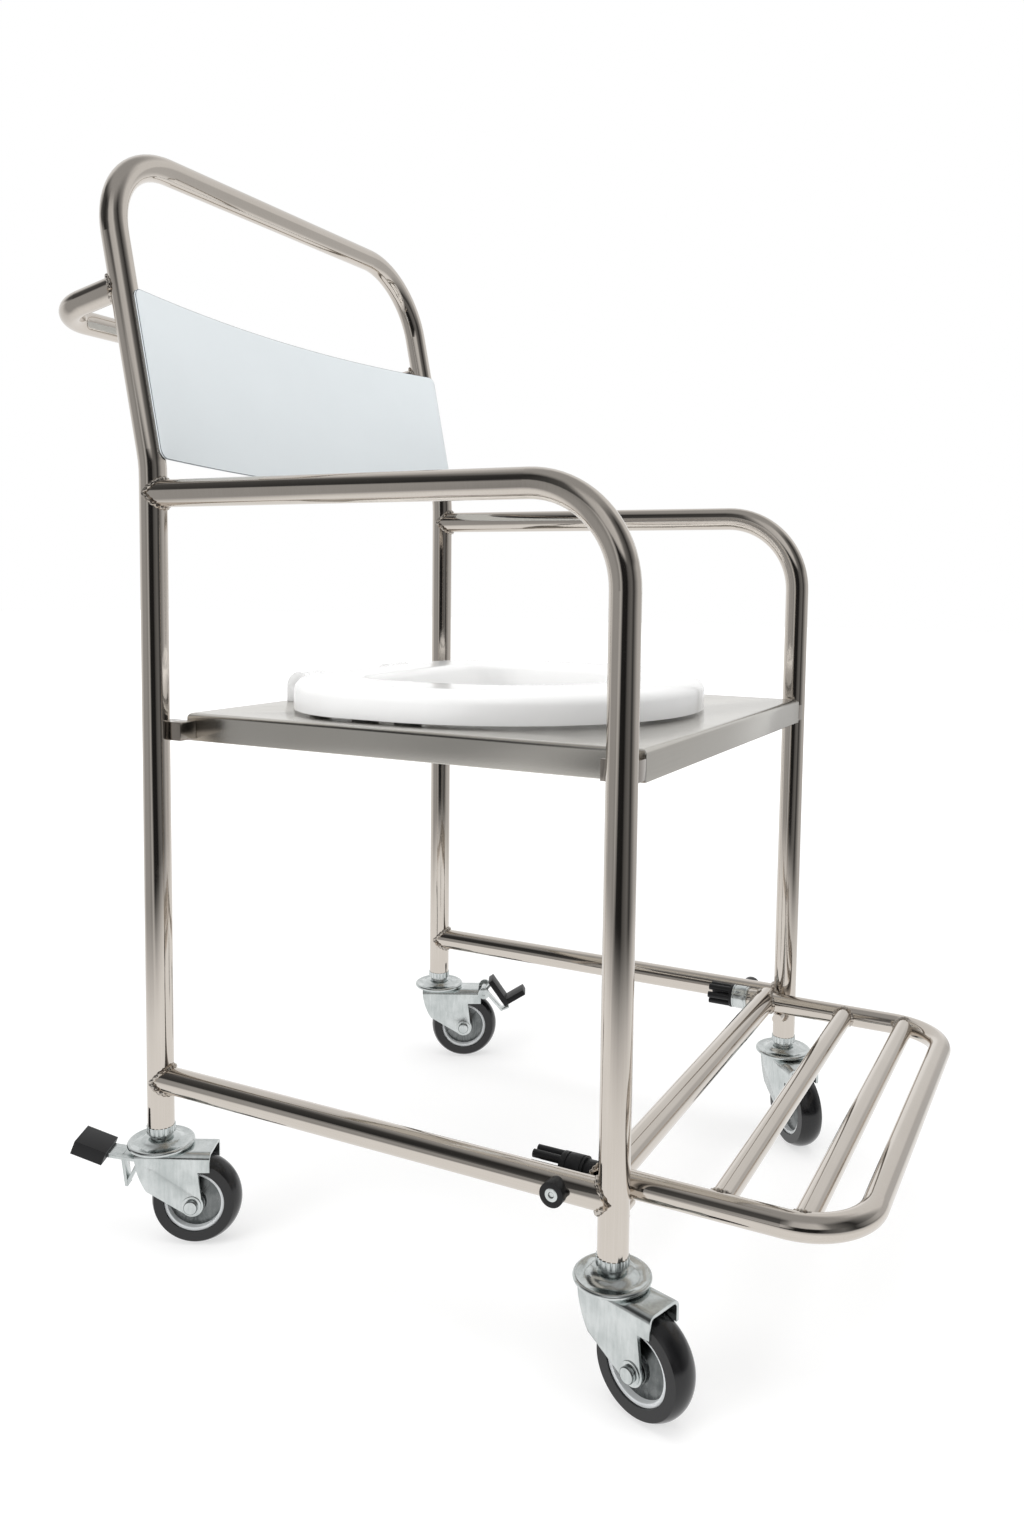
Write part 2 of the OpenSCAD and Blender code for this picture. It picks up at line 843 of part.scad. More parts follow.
// Cross bar of the footrest as a solid bar.
module foot_bar_path(d, extra) {
  half = foot_x + foot_r;
  translate([-half - extra, foot_bar_y, rail_z])
    rotate([0, 90, 0])
      rod(d, 2 * (half + extra));
}

// Bent tube round the footrest's sides and front.
module footrest_frame() {
  color(steel)
    difference() {
      foot_path(foot_d, 0);
      foot_path(foot_d - 2 * tube_wall, cut);
      foot_bar_path(tube_d, cut);
    }
}

// Rear cross bar that carries the footrest's arms and tails.
module footrest_bar() {
  color(steel)
    difference() {
      foot_bar_path(tube_d, 0);
      foot_bar_path(tube_d - 2 * tube_wall, cut);
    }
}

// Two slats between the footrest's arms.
module footrest_slats() {
  half = foot_x - cope_setback;
  color(steel)
    for (lead = [slat_1_lead, slat_2_lead])
      translate([0, -half_reach - lead, rail_z])
        difference() {
          translate([-half, 0, 0])
            rotate([0, 90, 0])
              rod(slat_d, 2 * half);
          translate([-half - cut, 0, 0])
            rotate([0, 90, 0])
              rod(slat_d - 2 * tube_wall, 2 * (half + cut));
          translate([0, half_reach + lead, -rail_z])
            foot_path(foot_d, 0);
        }
}

// Tail tubes behind the rear bar.
module pivot_tails() {
  color(steel)
    difference() {
      both()
        translate([foot_x, foot_bar_y + cope_setback, rail_z])
          rotate([-90, 0, 0])
            rod(foot_d, tail_len - cope_setback);
      both()
        translate([foot_x, foot_bar_y + cope_setback - cut, rail_z])
          rotate([-90, 0, 0])
            rod(foot_d - 2 * tube_wall, tail_len - cope_setback + 2 * cut);
      foot_bar_path(tube_d, cut);
    }
}

// Grooved bright collars over the ends of tail tubes and plugs.
module tail_collars() {
  collar_d = foot_d + 2 * collar_wall;
  color(zinc)
    difference() {
      both()
        translate([foot_x, tail_end_y - collar_lap, rail_z])
          rotate([-90, 0, 0])
            difference() {
              rod(collar_d, collar_len);
              translate([0, 0, -cut])
                rod(foot_d, collar_len + 2 * cut);
              for (z = [groove_w, collar_len - 2 * groove_w])
                translate([0, 0, z])
                  difference() {
                    rod(collar_d + 2 * cut, groove_w);
                    translate([0, 0, -cut])
                      rod(collar_d - 2 * groove_depth, groove_w + 2 * cut);
                  }
            }
      both()
        pivot_bore(pivot_d + 2 * run_fit);
    }
}

// Black plugs in the tails, bored for the pivot bolts, with a flange and fingers.
module pivot_plugs() {
  body_len = collar_len - collar_lap;
  color(black)
    difference() {
      both()
        translate([foot_x, tail_end_y, rail_z])
          rotate([-90, 0, 0]) {
            rod(foot_d, body_len + cut);
            translate([0, 0, body_len])
              rod(2 * plug_r, flange_t);
            for (i = [0 : finger_count - 1])
              rotate([0, 0, i * 360 / finger_count])
                translate([plug_r - finger_inset, 0, body_len + flange_t / 2])
                  rod(finger_d, flange_t / 2 + finger_len);
            translate([0, 0, -spigot_len])
              rod(foot_d - 2 * tube_wall, spigot_len + cut);
          }
      both()
        pivot_bore(pivot_d + 2 * run_fit);
    }
}

// Bar along the footrest's pivot on the left side, through rail and collar into the plug.
module pivot_bore(d) {
  translate([foot_x - pivot_depth, pivot_y, rail_z])
    rotate([0, 90, 0])
      rod(d, rail_face + cap_t - foot_x + pivot_depth + cut);
}

// Pivot bolts from the caps through the rails into the plugs.
module pivot_bolts() {
  inner = foot_x - pivot_depth + cut;
  color(zinc)
    both()
      translate([inner, pivot_y, rail_z])
        rotate([0, 90, 0])
          rod(pivot_d, rail_face + cap_t - cap_seat - inner);
}

// Black round caps outside the rails, shaped to the tube.
module pivot_caps() {
  color(black)
    both()
      difference() {
        translate([half_span, pivot_y, rail_z])
          rotate([0, 90, 0])
            rod(cap_d, tube_r + cap_t);
        rail_bar(tube_d, cap_d);
        pivot_bore(pivot_d);
        translate([rail_face + cap_t - cap_seat, pivot_y, rail_z])
          rotate([0, 90, 0])
            rod(cap_washer_d, cap_seat + cut);
        translate([0, pivot_y - cap_d, rail_z - cap_d])
          cube([half_span + cut, 2 * cap_d, 2 * cap_d]);
      }
}

// Metal washers let into the caps.
module cap_washers() {
  color(zinc)
    both()
      translate([rail_face + cap_t - cap_seat, pivot_y, rail_z])
        rotate([0, 90, 0])
          difference() {
            rod(cap_washer_d, cap_seat);
            translate([0, 0, cap_seat / 2])
              rod(pivot_d / 2, cap_seat);
          }
}

// Pegs on the front legs that carry the footrest's arms.
module stop_pegs() {
  peg_z = rail_z - foot_r - peg_gap - peg_d / 2;
  color(steel)
    both()
      difference() {
        translate([foot_x - foot_r / 2, -half_reach, peg_z])
          rotate([0, 90, 0])
            rod(peg_d, half_span - foot_x + foot_r / 2 - cope_setback);
        front_leg_bar();
      }
}

// Repeats its children at the four legs.
module at_legs() {
  for (x = [-half_span, half_span], y = [-half_reach, half_reach])
    translate([x, y, 0])
      children();
}

// Threaded plugs pressed into the leg ends.
module leg_plugs() {
  color(zinc)
    at_legs()
      translate([0, 0, leg_end_z])
        difference() {
          rod(tube_d - 2 * tube_wall, leg_plug_len);
          translate([0, 0, -cut])
            rod(stem_d, leg_plug_len + 2 * cut);
        }
}

// Stems that carry the castors, from below the bearing ring up into the plugs.
module castor_stems() {
  color(zinc)
    at_legs()
      translate([0, 0, fork_crown_z - fork_t / 2])
        rod(stem_d, leg_end_z + stem_len - fork_crown_z + fork_t / 2);
}

// Serrated nuts between the heads and the leg ends, each with a plain collar below.
module stem_nuts() {
  nut_h = leg_end_z - nut_z;
  color(zinc)
    at_legs()
      translate([0, 0, nut_z])
        difference() {
          union() {
            rod(nut_collar_d, nut_h - nut_band / 2);
            translate([0, 0, nut_h - nut_band])
              difference() {
                rod(nut_d, nut_band);
                for (i = [0 : nut_teeth - 1])
                  rotate([0, 0, i * 360 / nut_teeth])
                    translate([nut_d / 2, 0, -cut])
                      rod(2 * nut_tooth, nut_band + 2 * cut);
              }
          }
          translate([0, 0, -cut])
            rod(stem_d, nut_h + 2 * cut);
        }
}

// Half section of a swivel head: plate, rolled rim, cone and flat top.
module head_section() {
  rim_x = head_d / 2 - head_rim_r;
  square([rim_x, head_plate]);
  translate([rim_x, head_rim_lift])
    circle(r = head_rim_r);
  polygon([[0, head_plate / 2], [head_cone_r, head_plate / 2], [head_land_r, head_h], [0, head_h]]);
}

// Dished heads over the bearing rings.
module swivel_heads() {
  color(zinc)
    at_legs()
      translate([0, 0, head_z])
        difference() {
          rotate_extrude()
            head_section();
          translate([0, 0, -cut])
            rod(stem_d, head_h + 2 * cut);
        }
}

// Bearing rings between the heads and the forks.
module bearing_rings() {
  color(zinc)
    at_legs()
      translate([0, 0, race_z])
        difference() {
          rod(race_d, race_t);
          translate([0, 0, -cut])
            rod(stem_d, race_t + 2 * cut);
        }
}

// Moves its children to a leg and turns them; the wheel trails along local +Y.
module castor_at(x, y, turn) {
  translate([x * half_span, y * half_reach, 0])
    rotate([0, 0, turn])
      children();
}

// Outline of a fork cheek in the plane of trail and height, with the crown's trailing end.
module cheek_outline(end) {
  toe_r = fork_end_r - toe_dip;
  toe_y = trail - toe_r * sin(cheek_rise);
  toe_z = wheel_r - toe_r * cos(cheek_rise);
  front = -crown_lead - cut;
  intersection() {
    polygon([[front, fork_top_z + cut], [end, fork_top_z + cut],
      [end, fork_top_z - fork_apron], [trail + fork_waist, fork_top_z - fork_apron - toe_dip],
      [trail + fork_end_r - cut, wheel_r], [trail, wheel_r], [toe_y, toe_z],
      [front, toe_z + (toe_y - front) * tan(cheek_rise)]]);
    translate([lead_r - crown_lead, fork_top_z])
      circle(r = lead_r, $fn = lead_fn);
  }
  translate([trail, wheel_r])
    circle(r = fork_end_r);
}

// Pressed fork: a folded channel cut to the cheeks' outline, with rings round the axle.
module fork(end) {
  len = end + crown_lead + 2 * cut;
  color(zinc)
    difference() {
      union() {
        intersection() {
          translate([-fork_half - cut, 0, 0])
            rotate([90, 0, 90])
              linear_extrude(2 * (fork_half + cut))
                cheek_outline(end);
          translate([0, end + cut, 0])
            rotate([90, 0, 0])
              linear_extrude(len)
                fold_section(2 * fork_half, fork_top_z, fork_fold_r);
        }
        translate([-axle_half, trail, wheel_r])
          rotate([0, 90, 0])
            rod(axle_ring_d, 2 * axle_half);
      }
      translate([0, end + 2 * cut, -cut])
        rotate([90, 0, 0])
          linear_extrude(len + 2 * cut)
            fold_section(fork_gap, fork_crown_z + cut, fork_fold_r - fork_t);
      translate([0, 0, fork_crown_z - cut])
        rod(stem_d + 2 * run_fit, fork_t + 2 * cut);
      axle_bore(axle_d);
    }
}

// Fork with two ears behind its crown, bored for a brake's pivot.
module eared_fork(angle) {
  notch = trail + brake_pivot_r * sin(angle) - barrel_d / 2 - barrel_gap;
  color(zinc)
    difference() {
      union() {
        fork(eared_trail);
        difference() {
          brake_bore(angle, 2 * ear_r);
          brake_bore_gap(fork_gap);
        }
      }
      translate([-fork_gap / 2, notch, fork_crown_z - cut])
        cube([fork_gap, eared_trail, fork_t + 2 * cut]);
      brake_bore(angle, brake_pin_d);
    }
}

// Room between the cheeks of a fork.
module brake_bore_gap(w) {
  translate([-w / 2, 0, 0])
    cube([w, eared_trail + brake_pivot_r, fork_top_z + brake_pivot_r]);
}

module axle_bore(d) {
  translate([-axle_half - cut, trail, wheel_r])
    rotate([0, 90, 0])
      rod(d, 2 * (axle_half + cut));
}

// Bar along a brake's pivot; the angle is from straight up toward the trailing side.
module brake_bore(angle, d) {
  brake_at(angle)
    translate([-fork_half, 0, 0])
      rotate([0, 90, 0])
        rod(d, 2 * fork_half);
}

// Moves its children to the pivot of a brake.
module brake_at(angle) {
  translate([0, trail + brake_pivot_r * sin(angle), wheel_r + brake_pivot_r * cos(angle)])
    children();
}

// Axle bolt with a round head and a nut of the same size.
module axle() {
  color(zinc)
    translate([0, trail, wheel_r])
      rotate([0, 90, 0]) {
        translate([0, 0, -axle_half])
          rod(axle_d, 2 * axle_half);
        translate([0, 0, -axle_half - axle_head_h])
          rod(axle_head_d, axle_head_h);
        translate([0, 0, axle_half])
          rod(axle_head_d, axle_head_h);
      }
}

// Wheel hub: boss, dished web and rim.
module hub() {
  hub_r = wheel_r - tyre_t;
  web_r = hub_r - rim_t;
  color(grey)
    translate([0, trail, wheel_r])
      rotate([0, 90, 0])
        rotate_extrude()
          difference() {
            union() {
              translate([0, -boss_w / 2])
                square([boss_d / 2, boss_w]);
              polygon([[0, -dish_w / 2], [boss_d / 4, -dish_w / 2], [web_r, -web_t / 2],
                [web_r + rim_t / 2, -web_t / 2], [web_r + rim_t / 2, web_t / 2],
                [web_r, web_t / 2], [boss_d / 4, dish_w / 2], [0, dish_w / 2]]);
              translate([web_r, -rim_w / 2])
                square([rim_t, rim_w]);
            }
            translate([0, -boss_w])
              square([axle_d / 2 + run_fit, 2 * boss_w]);
          }
}

// Tyre with a round tread.
module tyre() {
  color(black)
    translate([0, trail, wheel_r])
      rotate([0, 90, 0])
        rotate_extrude()
          intersection() {
            translate([wheel_r - tyre_t, -tyre_w / 2])
              square([tyre_t + cut, tyre_w]);
            translate([wheel_r - tread_r, 0])
              circle(r = tread_r);
          }
}

// Plates end to end from the pivot along local +Y, each turned against the one before
// and a little narrower.
module plate_chain(lens, turns, w, t, first = 0, i = 0) {
  rotate([turns[i], 0, 0]) {
    if (i >= first)
      translate([-w / 2, -t / 2, -t / 2])
        cube([w, lens[i] + t, t]);
    if (i + 1 < len(lens))
      translate([0, lens[i], 0])
        plate_chain(lens, turns, w - 2 * plate_step, t, first, i + 1);
  }
}

// Brake lever about its pivot: barrel, pedal plates, shoe, and the release tab as its child.
module lever(lens, turns, shoe_turn) {
  color(zinc)
    difference() {
      union() {
        translate([-barrel_w / 2, 0, 0])
          rotate([0, 90, 0])
            rod(barrel_d, barrel_w);
        plate_chain(lens, turns, lever_w, lever_t);
        rotate([shoe_turn, 0, 0])
          translate([-shoe_w / 2, 0, -lever_t / 2])
            cube([shoe_w, shoe_reach, lever_t]);
        children();
      }
      translate([-lever_w, 0, 0])
        rotate([0, 90, 0])
          rod(brake_pin_d + 2 * run_fit, 2 * lever_w);
    }
}

// Rubber of the given wall over the pedal plates, from the second plate on.
module pedal_cap(lens, turns, wall) {
  color(black)
    difference() {
      plate_chain(lens, turns, lever_w + 2 * wall, lever_t + 2 * wall, 1);
      plate_chain(lens, turns, lever_w, lever_t);
    }
}

// Place of the right brake, whose pedal points to the leading side.
module right_brake_at() {
  castor_at(-1, 1, right_rear_turn)
    brake_at(-right_brake_angle)
      rotate([0, 0, 180])
        children();
}

// Place of the left brake, whose pedal points to the trailing side.
module left_brake_at() {
  castor_at(1, 1, left_rear_turn)
    brake_at(left_brake_angle)
      children();
}

module right_rear_fork() {
  color(zinc)
    castor_at(-1, 1, right_rear_turn)
      difference() {
        fork(crown_trail);
        brake_bore(-right_brake_angle, brake_pin_d);
      }
}

module right_rear_axle() {
  castor_at(-1, 1, right_rear_turn)
    axle();
}

module right_rear_hub() {
  castor_at(-1, 1, right_rear_turn)
    hub();
}

module right_rear_tyre() {
  castor_at(-1, 1, right_rear_turn)
    tyre();
}

module right_front_fork() {
  castor_at(-1, -1, right_front_turn)
    fork(crown_trail);
}

module right_front_axle() {
  castor_at(-1, -1, right_front_turn)
    axle();
}

module right_front_hub() {
  castor_at(-1, -1, right_front_turn)
    hub();
}

module right_front_tyre() {
  castor_at(-1, -1, right_front_turn)
    tyre();
}

module left_front_fork() {
  castor_at(1, -1, left_front_turn)
    fork(crown_trail);
}

module left_front_axle() {
  castor_at(1, -1, left_front_turn)
    axle();
}

module left_front_hub() {
  castor_at(1, -1, left_front_turn)
    hub();
}

module left_front_tyre() {
  castor_at(1, -1, left_front_turn)
    tyre();
}

module left_rear_fork() {
  castor_at(1, 1, left_rear_turn)
    eared_fork(left_brake_angle);
}

module left_rear_axle() {
  castor_at(1, 1, left_rear_turn)
    axle();
}

module left_rear_hub() {
  castor_at(1, 1, left_rear_turn)
    hub();
}

module left_rear_tyre() {
  castor_at(1, 1, left_rear_turn)
    tyre();
}

// Brake lever of the right rear castor.
module right_brake_lever() {
  right_brake_at()
    lever(right_pedal_lens, right_pedal_turns, 270 - right_brake_angle + shoe_lag)
      rotate([right_pedal_turns[0], 0, 0])
        translate([0, right_tab_start, 0])
          plate_chain(right_tab_lens, right_tab_turns, tab_w, lever_t);
}

// Rubber cap of the right pedal.
module right_brake_cap() {
  right_brake_at()
    pedal_cap(right_pedal_lens, right_pedal_turns, right_cap_wall);
}

// Brake lever of the left rear castor.
module left_brake_lever() {
  left_brake_at()
    lever(left_pedal_lens, left_pedal_turns, 270 - left_brake_angle + shoe_lag)
      plate_chain(left_tab_lens, left_tab_turns, tab_w, lever_t);
}

// Rubber cap of the left pedal.
module left_brake_cap() {
  left_brake_at()
    pedal_cap(left_pedal_lens, left_pedal_turns, left_cap_wall);
}

// Pivot pin of the right brake.
module right_brake_pin() {
  color(zinc)
    castor_at(-1, 1, right_rear_turn)
      brake_bore(-right_brake_angle, brake_pin_d);
}

// Pivot pin of the left brake.
module left_brake_pin() {
  color(zinc)
    castor_at(1, 1, left_rear_turn)
      brake_bore(left_brake_angle, brake_pin_d);
}

back_frame();
right_side_frame();
left_side_frame();
right_side_rail();
left_side_rail();
push_handle();
back_panel();
panel_studs();
seat_pan();
seat_lugs();
toilet_ring();
ring_buffers();
hinge_posts();
hinge_pins();
footrest_frame();
footrest_bar();
footrest_slats();
pivot_tails();
tail_collars();
pivot_plugs();
pivot_bolts();
pivot_caps();
cap_washers();
stop_pegs();
leg_plugs();
castor_stems();
stem_nuts();
swivel_heads();
bearing_rings();
right_rear_fork();
right_rear_axle();
right_rear_hub();
right_rear_tyre();
right_front_fork();
right_front_axle();
right_front_hub();
right_front_tyre();
left_front_fork();
left_front_axle();
left_front_hub();
left_front_tyre();
left_rear_fork();
left_rear_axle();
left_rear_hub();
left_rear_tyre();
right_brake_lever();
right_brake_cap();
left_brake_lever();
left_brake_cap();
right_brake_pin();
left_brake_pin();
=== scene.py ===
"""Looks of a shower commode chair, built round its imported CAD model.

The chair stands on the floor at z = 0 and faces -Y. All sizes are in metres.
"""

import json
import logging
import math
from dataclasses import dataclass
from enum import Enum
from typing import Any, Callable, Iterable, Sequence

import bpy
from mathutils import Matrix, Vector


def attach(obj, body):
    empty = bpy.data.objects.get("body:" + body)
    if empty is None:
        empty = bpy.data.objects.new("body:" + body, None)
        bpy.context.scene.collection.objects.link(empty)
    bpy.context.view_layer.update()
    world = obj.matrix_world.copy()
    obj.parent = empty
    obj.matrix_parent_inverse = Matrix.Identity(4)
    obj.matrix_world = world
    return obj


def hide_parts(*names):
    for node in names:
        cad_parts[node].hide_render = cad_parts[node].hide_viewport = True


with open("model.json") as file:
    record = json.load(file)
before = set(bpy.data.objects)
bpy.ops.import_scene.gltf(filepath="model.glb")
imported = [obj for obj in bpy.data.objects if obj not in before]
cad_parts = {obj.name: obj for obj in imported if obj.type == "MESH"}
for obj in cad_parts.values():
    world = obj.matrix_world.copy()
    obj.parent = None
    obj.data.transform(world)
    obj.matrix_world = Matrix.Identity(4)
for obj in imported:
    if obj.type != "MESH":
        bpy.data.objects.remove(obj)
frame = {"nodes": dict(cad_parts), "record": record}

LOG = logging.getLogger("commode_chair")
Colour = tuple[float, float, float]
Pair = tuple[float, float]

PURE_WHITE: Colour = (1.0, 1.0, 1.0)
ACROSS = Vector((1.0, 0.0, 0.0))
REARWARD = Vector((0.0, 1.0, 0.0))
UPWARD = Vector((0.0, 0.0, 1.0))
SIDES = (-1.0, 1.0)
EDGE_SLOT = 1
EXTRA_SLOT = 2
FINE_DETAIL = 3.0
FINEST_DETAIL = 4.0
EVEN: Pair = (0.5, 0.5)


class Axis(Enum):
    """Direction in which a metal was drawn or brushed."""

    X = 0
    Y = 1
    Z = 2


class Value:
    """A shader socket that takes part in Python expressions."""

    def __init__(self, tree: "Tree", socket: bpy.types.NodeSocket) -> None:
        """Keeps the socket and the tree that new Math nodes go to."""
        self.tree = tree
        self.socket = socket

    def math(self, operation: str, other: "Value | float") -> "Value":
        """Adds a Math node.

        Args:
            operation: Name of the Math node's operation.
            other: Second operand, a value or a number.

        Returns:
            The node's result.
        """
        return self.tree.node("ShaderNodeMath", {"operation": operation}, {0: self, 1: other})

    def __add__(self, other: "Value | float") -> "Value":
        """Sum."""
        return self.math("ADD", other)

    def __mul__(self, other: "Value | float") -> "Value":
        """Product."""
        return self.math("MULTIPLY", other)

    def __truediv__(self, other: "Value | float") -> "Value":
        """Quotient."""
        return self.math("DIVIDE", other)

    def between(self, low: float, high: float) -> "Value":
        """Smooth step between two limits.

        Args:
            low: Where the step begins.
            high: Where it ends.

        Returns:
            A value that is 0 up to low and 1 from high on.
        """
        settings = {"interpolation_type": "SMOOTHSTEP"}
        return self.tree.node("ShaderNodeMapRange", settings, {0: self, 1: low, 2: high})


def weigh(values: Sequence[Value], shares: Sequence[float]) -> Value:
    """Adds values up by their shares.

    Args:
        values: The values.
        shares: The share of each.

    Returns:
        The sum.
    """
    first, *others = [value * share for value, share in zip(values, shares)]
    return sum(others, first)


def grey(level: float) -> Colour:
    """Grey of a level from 0 to 1."""
    return (level, level, level)


class Tree:
    """Adds nodes to the node tree of a material or of the world."""

    def __init__(self, owner: bpy.types.Material | bpy.types.World) -> None:
        """Empties the owner's node tree and keeps it."""
        owner.use_nodes = True
        self.tree = owner.node_tree
        self.tree.nodes.clear()

    def node(
        self,
        kind: str,
        settings: dict[str, Any] | None = None,
        inputs: dict[str | int, Any] | None = None,
        output: str | int = 0,
    ) -> Value:
        """Adds a node.

        Args:
            kind: The node's type.
            settings: The node's own attributes; stops holds a ramp's places and colours.
            inputs: Values or links of its sockets, by name or number.
            output: Name or number of the socket that is returned.

        Returns:
            The wanted output.
        """
        made = self.tree.nodes.new(kind)
        for name, setting in (settings or {}).items():
            if name == "stops":
                self._set_stops(made.color_ramp, setting)
            else:
                setattr(made, name, setting)
        for name, given in (inputs or {}).items():
            if isinstance(given, Value):
                self.tree.links.new(given.socket, made.inputs[name])
            else:
                made.inputs[name].default_value = given
        return Value(self, made.outputs[output])

    @staticmethod
    def _set_stops(ramp: bpy.types.ColorRamp, stops: Sequence[tuple[float, Colour]]) -> None:
        """Gives a ramp its places and colours.

        Args:
            ramp: The ramp, which may have fewer stops.
            stops: The place and the colour of each stop.
        """
        for _ in range(len(stops) - len(ramp.elements)):
            ramp.elements.new(1.0)
        for element, (place, colour) in zip(ramp.elements, stops):
            element.position = place
            element.color = (*colour, 1.0)

    def end(self, shader: Value, kind: str = "ShaderNodeOutputMaterial") -> None:
        """Links the finished shader to the tree's output node.

        Args:
            shader: The finished shader.
            kind: Type of the output node.
        """
        made = self.tree.nodes.new(kind)
        self.tree.links.new(shader.socket, made.inputs["Surface"])

    def coordinates(self, scale: Sequence[float] = (1.0, 1.0, 1.0)) -> Value:
        """Object coordinates in metres, scaled along each axis.

        Args:
            scale: Factor along each axis.

        Returns:
            The coordinates.
        """
        place = self.node("ShaderNodeTexCoord", output="Object")
        return self.node("ShaderNodeMapping", {}, {"Vector": place, "Scale": scale})

    def noise(self, scale: float, detail: float = 2.0, along: Value | None = None) -> Value:
        """Soft noise from 0 to 1.

        Args:
            scale: Waves per metre, or per unit of the given coordinates.
            detail: Octaves of finer noise.
            along: Coordinates to use in place of plain Object coordinates.

        Returns:
            The noise value.
        """
        place = along or self.coordinates()
        inputs = {"Vector": place, "Scale": scale, "Detail": detail}
        return self.node("ShaderNodeTexNoise", {}, inputs, "Fac")

    def blend(self, share: Value, first: Value | Colour, second: Value | Colour) -> Value:
        """Blend of two colours.

        Args:
            share: Share of the second colour, from 0 to 1.
            first: The first colour.
            second: The second colour.

        Returns:
            The blended colour.
        """
        ends = [end if isinstance(end, Value) else (*end, 1.0) for end in (first, second)]
        inputs = {"Factor": share, 6: ends[0], 7: ends[1]}
        return self.node("ShaderNodeMix", {"data_type": "RGBA"}, inputs, 2)

    def bump(self, height: Value, strength: float, distance: float) -> Value:
        """Relief of a surface.

        Args:
            height: Height over the surface.
            strength: How much of the relief shows.
            distance: Depth of the relief.

        Returns:
            The normal.
        """
        inputs = {"Height": height, "Strength": strength, "Distance": distance}
        return self.node("ShaderNodeBump", {}, inputs)


@dataclass(frozen=True)
class Finish:
    """A surface finish that becomes one material."""

    name: str
    dark: Colour
    light: Colour
    rough: tuple[float, float] = (0.2, 0.3)

    def material(self) -> bpy.types.Material:
        """Makes the finish's material, or returns the one that is there."""
        made = bpy.data.materials.get(self.name)
        if made is None:
            made = bpy.data.materials.new(self.name)
            tree = Tree(made)
            tree.end(tree.node("ShaderNodeBsdfPrincipled", {}, self.sockets(tree)))
        return made

    def sockets(self, tree: Tree) -> dict[str, Any]:
        """Values and links of the Principled shader.

        Args:
            tree: The material's tree.

        Returns:
            The values and links by the names of the sockets.
        """
        raise NotImplementedError

    def roughness(self, share: Value) -> Value:
        """Roughness between the finish's two limits.

        Args:
            share: Share of the way from the smooth limit to the rough one.

        Returns:
            The roughness.
        """
        low, high = self.rough
        return share * (high - low) + low


@dataclass(frozen=True)
class DrawnSteel(Finish):
    """Stainless steel with faint lines along the draw or the brush."""

    grain: Axis = Axis.Z
    line_pitch: float = 0.0011
    line_length: float = 0.09
    cloud: float = 14.0
    line_strength: float = 0.012
    line_depth: float = 0.0004
    smear: float = 55.0
    smear_limits: Pair = (0.52, 0.72)
    tone_shares: Pair = (0.6, 0.4)
    rough_shares: tuple[float, float, float] = (0.45, 0.25, 0.3)

    def sockets(self, tree: Tree) -> dict[str, Any]:
        """Lines along the grain, soft clouds of tone and a trace of handling."""
        scale = [1.0 / self.line_pitch] * 3
        scale[self.grain.value] = 1.0 / self.line_length
        lines = tree.noise(1.0, FINE_DETAIL, tree.coordinates(scale))
        clouds = tree.noise(self.cloud, FINEST_DETAIL)
        smears = tree.noise(self.smear).between(*self.smear_limits)
        tone = weigh((clouds, lines), self.tone_shares)
        return {
            "Base Color": tree.blend(tone, self.dark, self.light),
            "Metallic": 1.0,
            "Roughness": self.roughness(weigh((lines, clouds, smears), self.rough_shares)),
            "Normal": tree.bump(lines, self.line_strength, self.line_depth),
        }


@dataclass(frozen=True)
class WeldSteel(Finish):
    """Weld metal with straw and brown heat tints."""

    tint: Colour = (0.30, 0.21, 0.13)
    tint_limits: Pair = (0.45, 0.75)
    tint_share: float = 0.7
    patch: float = 120.0
    scale: float = 900.0
    scale_strength: float = 0.15
    scale_depth: float = 0.0003

    def sockets(self, tree: Tree) -> dict[str, Any]:
        """Tints in patches, and a fine scale on the surface."""
        patches = tree.noise(self.patch, FINE_DETAIL)
        scale = tree.noise(self.scale)
        metal = tree.blend(scale, self.dark, self.light)
        tinted = tree.blend(
            patches.between(*self.tint_limits) * self.tint_share, metal, self.tint
        )
        return {
            "Base Color": tinted,
            "Metallic": 1.0,
            "Roughness": self.roughness(weigh((patches, scale), EVEN)),
            "Normal": tree.bump(scale, self.scale_strength, self.scale_depth),
        }


@dataclass(frozen=True)
class ZincPlate(Finish):
    """Bright zinc plate with soft clouds and rolling marks of the sheet."""

    cloud: float = 60.0
    mark: float = 420.0
    mark_stretch: tuple[float, float, float] = (1.0, 1.0, 0.15)
    tone_shares: Pair = (0.7, 0.3)
    tone_limits: Pair = (0.28, 0.72)
    relief_shares: Pair = (0.8, 0.2)
    relief_strength: float = 0.16
    relief_depth: float = 0.0008

    def sockets(self, tree: Tree) -> dict[str, Any]:
        """Clouds of tone and short upright marks, both also in the relief."""
        clouds = tree.noise(self.cloud, FINEST_DETAIL)
        marks = tree.noise(self.mark, FINE_DETAIL, tree.coordinates(self.mark_stretch))
        tone = weigh((clouds, marks), self.tone_shares).between(*self.tone_limits)
        relief = weigh((clouds, marks), self.relief_shares)
        return {
            "Base Color": tree.blend(tone, self.dark, self.light),
            "Metallic": 1.0,
            "Roughness": self.roughness(weigh((clouds, marks), EVEN)),
            "Normal": tree.bump(relief, self.relief_strength, self.relief_depth),
        }


